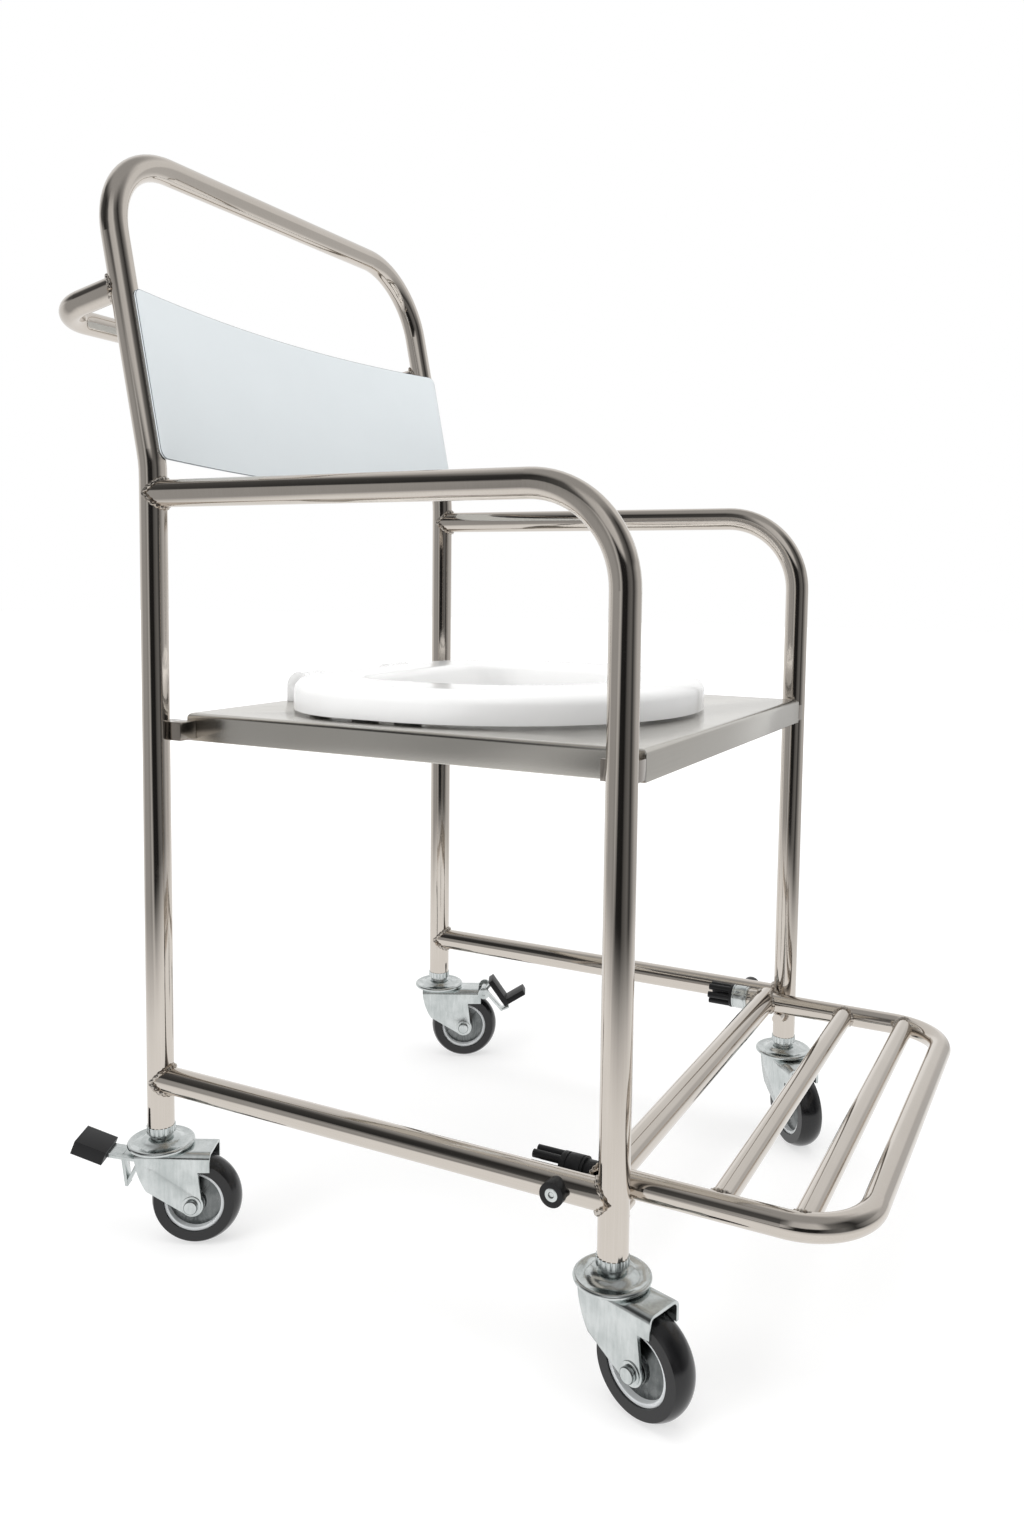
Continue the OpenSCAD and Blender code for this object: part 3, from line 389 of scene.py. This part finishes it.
@dataclass(frozen=True)
class Moulded(Finish):
    """Moulded plastic or rubber with a fine skin."""

    skin: float = 1500.0
    skin_strength: float = 0.05
    skin_depth: float = 0.0004
    cloud: float = 20.0
    tone_shares: Pair = (0.7, 0.3)
    gloss: float = 0.5
    coat: float = 0.0
    coat_rough: float = 0.08

    def sockets(self, tree: Tree) -> dict[str, Any]:
        """Soft tone changes, and the mould's texture in the gloss and the relief."""
        clouds = tree.noise(self.cloud, FINE_DETAIL)
        grains = tree.noise(self.skin)
        tone = weigh((clouds, grains), self.tone_shares)
        return {
            "Base Color": tree.blend(tone, self.dark, self.light),
            "Roughness": self.roughness(weigh((grains, clouds), EVEN)),
            "Specular IOR Level": self.gloss,
            "Coat Weight": self.coat,
            "Coat Roughness": self.coat_rough,
            "Normal": tree.bump(grains, self.skin_strength, self.skin_depth),
        }


STEEL_DARK: Colour = (0.57, 0.52, 0.465)
STEEL_LIGHT: Colour = (0.71, 0.66, 0.605)
TUBE_ROUGH: Pair = (0.05, 0.13)
TUBE = {
    axis: DrawnSteel(
        f"drawn_steel_{axis.name.lower()}", STEEL_DARK, STEEL_LIGHT, TUBE_ROUGH, grain=axis
    )
    for axis in Axis
}
SHEET = DrawnSteel(
    "brushed_pan",
    dark=(0.56, 0.535, 0.49),
    light=(0.69, 0.67, 0.625),
    rough=(0.18, 0.28),
    grain=Axis.X,
    line_pitch=0.0007,
    line_length=0.06,
    cloud=9.0,
    line_strength=0.08,
)
# Seat lugs in steel darker than the tubes: the darker colour is painted dark reflection.
LUG_STEEL_SHADED = DrawnSteel(
    "lug_steel_shaded",
    dark=(0.30, 0.27, 0.24),
    light=(0.46, 0.42, 0.38),
    rough=(0.08, 0.18),
    grain=Axis.X,
)
WELD = WeldSteel("weld_steel", (0.42, 0.38, 0.335), (0.62, 0.575, 0.525), (0.08, 0.2))
ZINC = ZincPlate("zinc_plate", (0.50, 0.535, 0.53), (0.70, 0.73, 0.725), (0.14, 0.26))
# Dark zinc for the bevel faces of rounded edges: painted shade, dark outlines that stand in for
# the dark room reflected in the edges.
ZINC_EDGE_SHADE = ZincPlate("zinc_edge_shade", (0.10, 0.11, 0.11), (0.26, 0.28, 0.28), (0.2, 0.3))
HUB_DISH = ZincPlate("hub_dish", (0.10, 0.11, 0.11), (0.24, 0.25, 0.25), (0.2, 0.34))
HUB_RIM = Moulded("hub_rim", (0.60, 0.62, 0.63), (0.70, 0.72, 0.73), (0.24, 0.36))
WHITE = Moulded(
    "white_gloss", (0.87, 0.87, 0.865), (0.91, 0.91, 0.905), (0.2, 0.28), coat=0.5
)
BUFFER_GREY = Moulded("buffer_grey", (0.74, 0.75, 0.76), (0.82, 0.83, 0.84), (0.4, 0.55))
BLACK = Moulded(
    "cap_rubber",
    dark=(0.004, 0.004, 0.0045),
    light=(0.012, 0.012, 0.013),
    rough=(0.36, 0.5),
    skin=900.0,
    skin_strength=0.12,
    gloss=0.3,
)
TYRE = Moulded(
    "wheel_rubber",
    dark=(0.004, 0.004, 0.0045),
    light=(0.011, 0.011, 0.012),
    rough=(0.14, 0.24),
    skin=1100.0,
)
PANEL = Moulded(
    "panel_sheet",
    dark=(0.72, 0.765, 0.785),
    light=(0.76, 0.805, 0.825),
    rough=(0.34, 0.44),
    skin=1300.0,
    skin_strength=0.03,
)
# Dark colour for the back panel's rounded rim faces: painted shade along the sheet's edge.
PANEL_EDGE_SHADE = Moulded("panel_edge_shade", (0.16, 0.18, 0.20), (0.24, 0.26, 0.28), (0.34, 0.44))

NODE_FINISHES: dict[Finish, tuple[str, ...]] = {
    TUBE[Axis.Z]: ("back_frame", "right_side_frame", "left_side_frame"),
    TUBE[Axis.Y]: ("right_side_rail", "left_side_rail", "footrest_frame", "pivot_tails"),
    TUBE[Axis.X]: ("push_handle", "footrest_bar", "footrest_slats", "stop_pegs"),
    SHEET: ("seat_pan",),
    LUG_STEEL_SHADED: ("seat_lugs",),
    WHITE: ("toilet_ring", "hinge_posts"),
    BUFFER_GREY: ("ring_buffers",),
    PANEL: ("back_panel",),
    BLACK: ("pivot_plugs", "pivot_caps", "right_brake_cap", "left_brake_cap"),
}


def finish_of(node: str) -> Finish:
    """Finish of a CAD node.

    Args:
        node: The CAD node's name.

    Returns:
        Its finish, which is zinc plate for what is neither listed nor part of a wheel.
    """
    for finish, names in NODE_FINISHES.items():
        if node in names:
            return finish
    if node.endswith("_tyre"):
        return TYRE
    return HUB_DISH if node.endswith("_hub") else ZINC


def dress_nodes() -> None:
    """Gives every CAD node its finish."""
    for name, node in frame["nodes"].items():
        node.data.materials.clear()
        node.data.materials.append(finish_of(name).material())
        LOG.info("dressed %s", name)


@dataclass(frozen=True)
class Lamp:
    """A square soft lamp: its centre, the length of its sides and its power in watts."""

    name: str
    place: tuple[float, float, float]
    side: float
    power: float


@dataclass
class Studio:
    """Camera, light and floor round the chair."""

    eye: tuple[float, float, float] = (-0.93573, -0.49994, 0.55743)
    yaw: float = math.radians(63.53)
    pitch: float = math.radians(-4.54)
    roll: float = math.radians(0.78)
    image: Pair = (1024.0, 1536.0)
    focal_pixels: float = 1172.2
    axis_pixel: Pair = (540.98, 676.28)
    sensor: float = 36.0
    near_clip: float = 0.01
    lamps: tuple[Lamp, ...] = (
        Lamp("top_lamp", (-0.3, -0.2, 3.2), 2.6, 50.0),
        Lamp("left_lamp", (-2.6, 1.2, 1.3), 1.6, 38.0),
        Lamp("right_lamp", (0.6, -3.0, 1.5), 1.4, 14.0),
    )
    lamp_target: tuple[float, float, float] = (0.0, 0.0, 0.4)
    floor_side: float = 30.0
    floor_grey: float = 0.5
    floor_bounce: float = 0.85
    glow_near: float = 0.57
    glow_fade: Pair = (0.9, 3.0)
    floor_mirrored: float = 0.98
    floor_fade: Pair = (0.6, 1.4)
    ambient: float = 0.62
    zenith: float = 0.4
    zenith_fade: Pair = (0.72, 0.95)
    ceiling_fade: Pair = (0.24, 0.36)
    wall_greys: tuple[Pair, ...] = (
        (-180, 1.0), (-150, 0.95), (-110, 0.75), (-94, 0.4), (-60, 0.4), (-44, 0.3), (-34, 0.6),
        (-21, 0.02), (8, 0.015), (20, 0.12), (40, 0.18), (56, 0.04), (74, 0.27), (96, 0.56),
        (132, 0.6), (152, 0.95), (180, 1.0),
    )
    ceiling_greys: tuple[Pair, ...] = (
        (-180, 0.85), (-125, 0.8), (-100, 0.1), (-60, 0.03), (-38, 0.1), (-24, 0.6), (10, 0.7),
        (26, 0.2), (60, 0.03), (96, 0.36), (115, 0.8), (180, 0.85),
    )

    def axes(self) -> tuple[Vector, Vector, Vector]:
        """Right, up and forward directions of the camera."""
        cos_pitch = math.cos(self.pitch)
        forward = Vector(
            (math.sin(self.yaw) * cos_pitch, math.cos(self.yaw) * cos_pitch, math.sin(self.pitch))
        )
        level = Vector((math.cos(self.yaw), -math.sin(self.yaw), 0.0))
        upright = level.cross(forward)
        turn, lift = math.cos(self.roll), math.sin(self.roll)
        return level * turn + upright * lift, upright * turn - level * lift, forward

    def add_camera(self) -> None:
        """Sets up the camera at the photograph's viewing angle."""
        data = bpy.data.cameras.new("photo_camera")
        width, height = self.image
        data.sensor_width = self.sensor
        data.lens = self.focal_pixels / height * self.sensor
        data.shift_x = (width / 2 - self.axis_pixel[0]) / height
        data.shift_y = (self.axis_pixel[1] - height / 2) / height
        data.clip_start = self.near_clip
        camera = bpy.data.objects.new("photo_camera", data)
        bpy.context.scene.collection.objects.link(camera)
        right, up, forward = self.axes()
        turn = Matrix((right, up, -forward)).transposed().to_4x4()
        camera.matrix_world = Matrix.Translation(self.eye) @ turn
        bpy.context.scene.camera = camera

    def add_lamp(self, lamp: Lamp) -> None:
        """Adds a lamp that reflections don't show.

        Args:
            lamp: The lamp.
        """
        data = bpy.data.lights.new(lamp.name, "AREA")
        data.size = lamp.side
        data.energy = lamp.power
        made = bpy.data.objects.new(lamp.name, data)
        made.location = lamp.place
        sight = Vector(self.lamp_target) - Vector(lamp.place)
        made.rotation_euler = sight.to_track_quat("-Z", "Y").to_euler()
        made.visible_glossy = False
        bpy.context.scene.collection.objects.link(made)

    def add_world(self) -> None:
        """White to the camera, a dim room in reflections and an even grey as light."""
        world = bpy.data.worlds.new("studio")
        bpy.context.scene.world = world
        tree = Tree(world)
        room = self._room(tree)
        glossy = tree.node("ShaderNodeLightPath", output="Is Glossy Ray")
        shown = tree.node("ShaderNodeLightPath", output="Is Camera Ray").math(
            "MAXIMUM", tree.node("ShaderNodeLightPath", output="Is Transmission Ray")
        )
        unseen = tree.blend(glossy, grey(self.ambient), room)
        colour = tree.blend(shown, unseen, PURE_WHITE)
        tree.end(tree.node("ShaderNodeBackground", {}, {"Color": colour}), "ShaderNodeOutputWorld")

    def _room(self, tree: Tree) -> Value:
        """Colour of the room that polished metal reflects.

        Args:
            tree: The world's tree.

        Returns:
            White behind the chair, and walls and a ceiling of several greys round the camera.
        """
        sight = tree.node("ShaderNodeTexCoord", output="Generated")
        height = self._along(tree, sight, UPWARD)
        bearing = self._bearing(tree, sight)
        walls = self._greys(tree, bearing, self.wall_greys)
        ceiling = self._greys(tree, bearing, self.ceiling_greys)
        upper = tree.blend(height.between(*self.ceiling_fade), walls, ceiling)
        return tree.blend(height.between(*self.zenith_fade), upper, grey(self.zenith))

    @staticmethod
    def _along(tree: Tree, sight: Value, direction: Vector) -> Value:
        """Share of a place or direction that lies along another direction.

        Args:
            tree: The tree to add to.
            sight: The place or direction.
            direction: The other direction, of length 1.

        Returns:
            Their dot product.
        """
        settings = {"operation": "DOT_PRODUCT"}
        return tree.node("ShaderNodeVectorMath", settings, {0: sight, 1: direction}, "Value")

    @staticmethod
    def _greys(tree: Tree, bearing: Value, greys: Sequence[Pair]) -> Value:
        """Ramp of greys round the horizon.

        Args:
            tree: The tree to add to.
            bearing: Share of a turn, with the point behind the camera at one half.
            greys: Bearings in degrees from the point behind the camera, and their greys.

        Returns:
            The grey at the bearing.
        """
        stops = [(angle / 360 + 0.5, grey(level)) for angle, level in greys]
        return tree.node("ShaderNodeValToRGB", {"stops": stops}, {0: bearing})

    def add_floor(self) -> None:
        """Lays a pale floor that keeps soft shadows and whitens toward the distance."""
        deselect()
        bpy.ops.mesh.primitive_plane_add(size=self.floor_side)
        floor = bpy.context.object
        floor.name = "studio_floor"
        material = bpy.data.materials.new("studio_floor")
        tree = Tree(material)
        place = tree.node("ShaderNodeTexCoord", output="Object")
        away = self._reach(tree, place).between(*self.glow_fade)
        glow = tree.blend(away, grey(self.glow_near), PURE_WHITE)
        light = tree.node("ShaderNodeEmission", {}, {"Color": glow})
        plain = self._matt(tree, self.floor_grey)
        seen = tree.node("ShaderNodeAddShader", {}, {0: plain, 1: light})
        pale = self._matt(tree, self.floor_bounce)
        camera = tree.node("ShaderNodeLightPath", output="Is Camera Ray")
        glossy = tree.node("ShaderNodeLightPath", output="Is Glossy Ray")
        direct = tree.node("ShaderNodeMixShader", {}, {0: camera, 1: pale, 2: seen})
        mirrored = self._mirrored_floor(tree, place)
        tree.end(tree.node("ShaderNodeMixShader", {}, {0: glossy, 1: direct, 2: mirrored}))
        floor.data.materials.append(material)

    @staticmethod
    def _matt(tree: Tree, level: float) -> Value:
        """Matt shader of a grey level."""
        return tree.node("ShaderNodeBsdfDiffuse", {}, {"Color": (*grey(level), 1.0)})

    def _mirrored_floor(self, tree: Tree, place: Value) -> Value:
        """Floor as polished metal shows it: white round the chair and as the walls beyond.

        Args:
            tree: The floor's tree.
            place: Object coordinates on the floor.

        Returns:
            The shader for reflections.
        """
        walls = self._greys(tree, self._bearing(tree, place), self.wall_greys)
        away = self._reach(tree, place).between(*self.floor_fade)
        shown = tree.blend(away, grey(self.floor_mirrored), walls)
        return tree.node("ShaderNodeEmission", {}, {"Color": shown})

    @staticmethod
    def _reach(tree: Tree, place: Value) -> Value:
        """Distance of a place from the middle of the floor."""
        return tree.node("ShaderNodeVectorMath", {"operation": "LENGTH"}, {0: place}, "Value")

    def _bearing(self, tree: Tree, place: Value) -> Value:
        """Bearing of a place or direction round the chair.

        Args:
            tree: The tree to add to.
            place: The place or direction.

        Returns:
            The share of a turn, with the point behind the camera at one half.
        """
        right, _, forward = self.axes()
        aside = self._along(tree, place, Vector((right.x, right.y, 0.0)).normalized())
        behind = self._along(tree, place, Vector((-forward.x, -forward.y, 0.0)).normalized())
        return aside.math("ARCTAN2", behind) / (2.0 * math.pi) + 0.5

    def build(self) -> None:
        """Sets up the whole studio."""
        bpy.context.scene.view_settings.view_transform = "Standard"
        self.add_camera()
        for lamp in self.lamps:
            self.add_lamp(lamp)
        self.add_world()
        self.add_floor()


@dataclass(frozen=True)
class Joint:
    """A tube end that meets another tube."""

    centre: Vector
    along: Vector
    branch: Vector
    main_r: float
    branch_r: float


@dataclass
class ChairFrame:
    """The welded tube frame: where its tubes meet, and the weld beads there."""

    tube_r: float = 0.011
    half_span: float = 0.223
    half_reach: float = 0.206
    rail_z: float = 0.140
    armrest_z: float = 0.625
    knee_z: float = 0.639
    knee_bend_r: float = 0.090
    lean: float = math.radians(11.5)
    handle_r: float = 0.010
    handle_up: float = 0.1382
    peg_r: float = 0.005
    peg_z: float = 0.1252
    bead_r: float = 0.0026

    def leaning(self, back: float, up: float) -> Vector:
        """Point in the chair's middle plane from its place along the leaning uprights.

        Args:
            back: Distance behind the uprights' axes.
            up: Distance above the knee's upper end, along the uprights.

        Returns:
            The point, at x = 0.
        """
        reach = back - self.knee_bend_r
        rise_cos, rise_sin = math.cos(self.lean), math.sin(self.lean)
        return Vector(
            (
                0.0,
                self.half_reach + self.knee_bend_r + rise_cos * reach + rise_sin * up,
                self.knee_z - rise_sin * reach + rise_cos * up,
            )
        )

    def joints(self) -> Iterable[Joint]:
        """Every place where a tube of the frame is welded to another."""
        lean_up = Vector((0.0, math.sin(self.lean), math.cos(self.lean)))
        lean_back = Vector((0.0, math.cos(self.lean), -math.sin(self.lean)))
        grip = self.leaning(0.0, self.handle_up)
        tubes = (self.tube_r, self.tube_r)
        for side in SIDES:
            aside = ACROSS * side * self.half_span
            rear = aside + REARWARD * self.half_reach
            front = aside - REARWARD * self.half_reach
            inward = ACROSS * -side
            yield Joint(rear + UPWARD * self.armrest_z, UPWARD, -REARWARD, *tubes)
            yield Joint(rear + UPWARD * self.rail_z, UPWARD, -REARWARD, *tubes)
            yield Joint(front + UPWARD * self.rail_z, UPWARD, REARWARD, *tubes)
            yield Joint(grip + aside, lean_up, lean_back, self.tube_r, self.handle_r)
            yield Joint(front + UPWARD * self.peg_z, UPWARD, inward, self.tube_r, self.peg_r)

    def castors(self) -> Iterable["Castor"]:
        """The four castors under the legs, turned as in the photograph."""
        yield Castor("right_rear", (-self.half_span, self.half_reach), turn=206.0)
        yield Castor("right_front", (-self.half_span, -self.half_reach), turn=163.0)
        yield Castor("left_front", (self.half_span, -self.half_reach), turn=132.0)
        yield Castor("left_rear", (self.half_span, self.half_reach), turn=207.0)

    def build(self) -> None:
        """Lays the frame's weld beads."""
        lay_beads("frame_welds", self.joints(), self.bead_r, "frame")


@dataclass(frozen=True)
class Castor:
    """A swivel castor: its stem, its turn in degrees, its wheel and the dressing of its parts."""

    name: str
    place: Pair
    turn: float
    trail: float = 0.030
    wheel_r: float = 0.0375
    rim_from: float = 0.0222
    hub_edge: float = 0.0005

    def build(self) -> None:
        """Rounds the castor's edges and gives the hub a pale rim round its dark dish."""
        round_edges(f"{self.name}_fork", PRESSED)
        round_edges(f"{self.name}_axle", PRESSED)
        hub = round_edges(f"{self.name}_hub", Edges(self.hub_edge, HUB_DISH))
        hub.data.materials.append(HUB_RIM.material())
        turn = math.radians(self.turn)
        axle = Vector((math.cos(turn), math.sin(turn), 0.0))
        behind = Vector((-math.sin(turn), math.cos(turn), 0.0))
        centre = Vector((*self.place, self.wheel_r)) + behind * self.trail
        reaches = [vertex.co - centre for vertex in hub.data.vertices]
        radii = [(reach - axle * reach.dot(axle)).length for reach in reaches]
        for face in hub.data.polygons:
            if min(radii[corner] for corner in face.vertices) > self.rim_from:
                face.material_index = EXTRA_SLOT


@dataclass
class Footrest:
    """The flip-up footrest: where its tubes meet, and the weld beads there."""

    arm_x: float = 0.200
    arm_r: float = 0.0095
    bar_r: float = 0.011
    slat_r: float = 0.0085
    bar_y: float = -0.192
    slat_ys: Pair = (-0.272, -0.329)
    height: float = 0.140
    bead_r: float = 0.0019

    def joints(self) -> Iterable[Joint]:
        """Every place where a tube of the footrest is welded to another."""
        for side in SIDES:
            on_bar = Vector((side * self.arm_x, self.bar_y, self.height))
            yield Joint(on_bar, ACROSS, -REARWARD, self.bar_r, self.arm_r)
            yield Joint(on_bar, ACROSS, REARWARD, self.bar_r, self.arm_r)
            for y in self.slat_ys:
                on_arm = Vector((side * self.arm_x, y, self.height))
                yield Joint(on_arm, REARWARD, ACROSS * -side, self.arm_r, self.slat_r)

    def build(self) -> None:
        """Lays the footrest's weld beads."""
        lay_beads("footrest_welds", self.joints(), self.bead_r, "footrest")


BEAD_SEGMENTS = 84
BEAD_SIDES = 10
RIPPLES = 21
RIPPLE_SHARE = 0.16
SWAYS = 3
SWAY_SHARE = 0.1
SWAY_START = 1.0


def lay_bead(joint: Joint, bead_r: float) -> bpy.types.Object:
    """Makes one weld bead along the saddle where two tubes meet.

    Args:
        joint: The two tubes.
        bead_r: Half thickness of the bead.

    Returns:
        The bead's object.
    """
    deselect()
    bpy.ops.mesh.primitive_torus_add(
        major_radius=joint.branch_r,
        minor_radius=bead_r,
        major_segments=BEAD_SEGMENTS,
        minor_segments=BEAD_SIDES,
    )
    bead = bpy.context.object
    across = joint.along.cross(joint.branch)
    for vertex in bead.data.vertices:
        around = math.atan2(vertex.co.y, vertex.co.x)
        out = math.hypot(vertex.co.x, vertex.co.y) - joint.branch_r
        ripple = RIPPLE_SHARE * math.sin(RIPPLES * around)
        sway = SWAY_SHARE * math.sin(SWAYS * around + SWAY_START)
        swell = 1.0 + ripple + sway
        radial = joint.along * math.cos(around) + across * math.sin(around)
        sideways = joint.branch_r * math.sin(around)
        depth = math.sqrt(max(joint.main_r**2 - sideways**2, 0.0))
        vertex.co = (
            joint.centre
            + radial * (joint.branch_r + out * swell)
            + joint.branch * (depth + vertex.co.z * swell)
        )
    return bead


def lay_beads(name: str, joints: Iterable[Joint], bead_r: float, body: str) -> None:
    """Makes the weld beads of one body as one piece.

    Args:
        name: The piece's name.
        joints: Where the tubes meet.
        bead_r: Half thickness of the beads.
        body: The CAD body that they move with.
    """
    beads = [lay_bead(joint, bead_r) for joint in joints]
    deselect()
    for bead in beads:
        bead.select_set(True)
    bpy.context.view_layer.objects.active = beads[0]
    bpy.ops.object.join()
    piece = bpy.context.object
    edit_mesh(piece, lambda: bpy.ops.mesh.normals_make_consistent(inside=False))
    bpy.ops.object.shade_smooth()
    settle(piece, name, WELD, body)


@dataclass(frozen=True)
class Edges:
    """How the sharp edges of a part are rounded, and the finish on them; the dark edge finishes
    are painted shade.
    """

    width: float
    finish: Finish
    segments: int = 2
    sharp: float = math.radians(35)


# Pressed parts and the zinc pieces below carry painted shade on their rounded edges, in the dark
# edge zinc.
PRESSED = Edges(0.0006, ZINC_EDGE_SHADE)
ROUNDED: dict[str, Edges] = {
    "swivel_heads": Edges(0.0004, ZINC_EDGE_SHADE),
    "right_brake_lever": Edges(0.0005, ZINC_EDGE_SHADE),
    "left_brake_lever": Edges(0.0005, ZINC_EDGE_SHADE),
    "right_brake_cap": Edges(0.0026, BLACK, 4),
    "left_brake_cap": Edges(0.0008, BLACK),
    "pivot_caps": Edges(0.0014, BLACK, 3),
    "cap_washers": Edges(0.0003, ZINC_EDGE_SHADE),
    "pivot_plugs": Edges(0.0005, BLACK),
    "tail_collars": Edges(0.0004, ZINC_EDGE_SHADE),
    "pivot_tails": Edges(0.0003, TUBE[Axis.Y]),
    "seat_pan": Edges(0.0008, SHEET),
    "seat_lugs": Edges(0.0005, LUG_STEEL_SHADED),
    "back_panel": Edges(0.0006, PANEL_EDGE_SHADE),
    "hinge_posts": Edges(0.0006, WHITE),
}


def round_edges(node: str, edges: Edges) -> bpy.types.Object:
    """Stands a copy with rounded edges in for a CAD node.

    Args:
        node: The CAD node's name.
        edges: The rounding.

    Returns:
        The copy, with the node's finish first and that of its edges second, which for the dark
        edge finishes is painted shade.
    """
    source = frame["nodes"][node]
    piece = bpy.data.objects.new(node, source.data.copy())
    bpy.context.scene.collection.objects.link(piece)
    piece.data.transform(source.matrix_world)
    edit_mesh(piece, merge_faces)
    body, slot = body_of(node), slot_of(node)
    settle(piece, f"{node}_rounded", finish_of(node), body)
    piece.data.materials.append(edges.finish.material())
    bevel = piece.modifiers.new("bevel", "BEVEL")
    bevel.width = edges.width
    bevel.segments = edges.segments
    bevel.limit_method = "ANGLE"
    bevel.angle_limit = edges.sharp
    # The bevel faces take the edge finish, which is painted shade where it is dark.
    bevel.material = EDGE_SLOT
    bpy.ops.object.modifier_apply(modifier=bevel.name)
    bpy.ops.object.shade_smooth_by_angle(angle=edges.sharp)
    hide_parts(node)
    return piece


@dataclass(frozen=True)
class Seat:
    """The toilet ring with the lip that closes most of the gap above the pan."""

    low_z: float = 0.452
    lip: float = 0.003
    rear_y: float = 0.140
    edges: Edges = Edges(0.0012, WHITE, 3)

    def build(self) -> None:
        """Stands a ring whose underside reaches lower in for the CAD ring."""
        ring = round_edges("toilet_ring", self.edges)
        for vertex in ring.data.vertices:
            share = max(0.0, 1.0 - (vertex.co.z - self.low_z) / self.lip)
            if vertex.co.y < self.rear_y:
                vertex.co.z -= self.lip * min(share, 1.0)


def black_sleeve(node: str) -> None:
    """Dresses the sitter's right half of a node's copy as the black sleeve of the near hinge.

    Args:
        node: The CAD node's name.
    """
    piece = bpy.data.objects[f"{node}_rounded"]
    piece.data.materials.append(BLACK.material())
    for face in piece.data.polygons:
        if face.center.x < 0.0:
            face.material_index = EXTRA_SLOT


MERGE_GAP = 1e-5
FLAT_ANGLE = math.radians(0.5)


def merge_faces() -> None:
    """Joins loose triangles into whole faces that look outward."""
    bpy.ops.mesh.remove_doubles(threshold=MERGE_GAP)
    bpy.ops.mesh.dissolve_limited(angle_limit=FLAT_ANGLE)
    bpy.ops.mesh.normals_make_consistent(inside=False)


def body_of(node: str) -> str:
    """Body that a CAD node moves with."""
    bodies = frame["record"]["behaviour"]["bodies"]
    return next(body for body, nodes in bodies.items() if node in nodes)


def slot_of(node: str) -> str:
    """Material slot of a CAD node."""
    parts = frame["record"]["subparts"]
    return next(part["material_slot"] for part in parts if part["node"] == node)


def deselect() -> None:
    """Clears the selection."""
    bpy.ops.object.select_all(action="DESELECT")


def edit_mesh(piece: bpy.types.Object, work: Callable[[], Any]) -> None:
    """Runs edit-mode work on all of a piece's mesh.

    Args:
        piece: The piece, which is left selected and active.
        work: The work.
    """
    deselect()
    piece.select_set(True)
    bpy.context.view_layer.objects.active = piece
    bpy.ops.object.mode_set(mode="EDIT")
    bpy.ops.mesh.select_all(action="SELECT")
    work()
    bpy.ops.object.mode_set(mode="OBJECT")


def settle(piece: bpy.types.Object, name: str, finish: Finish, body: str) -> None:
    """Names a finished piece, dresses it and lets it ride on its body.

    Args:
        piece: The finished piece.
        name: Its name.
        finish: Its finish.
        body: The CAD body that it moves with.
    """
    piece.name = name
    piece.data.name = name
    piece.data.materials.clear()
    piece.data.materials.append(finish.material())
    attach(piece, body)
    LOG.info("made %s on %s", name, body)


def main() -> None:
    """Builds the looks in order."""
    logging.basicConfig(level=logging.INFO)
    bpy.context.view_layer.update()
    Studio().build()
    dress_nodes()
    chair = ChairFrame()
    chair.build()
    Footrest().build()
    for castor in chair.castors():
        castor.build()
    for node, edges in ROUNDED.items():
        round_edges(node, edges)
    Seat().build()
    black_sleeve("tail_collars")
    black_sleeve("pivot_tails")
    bpy.context.view_layer.update()


if __name__ == "__main__":
    main()
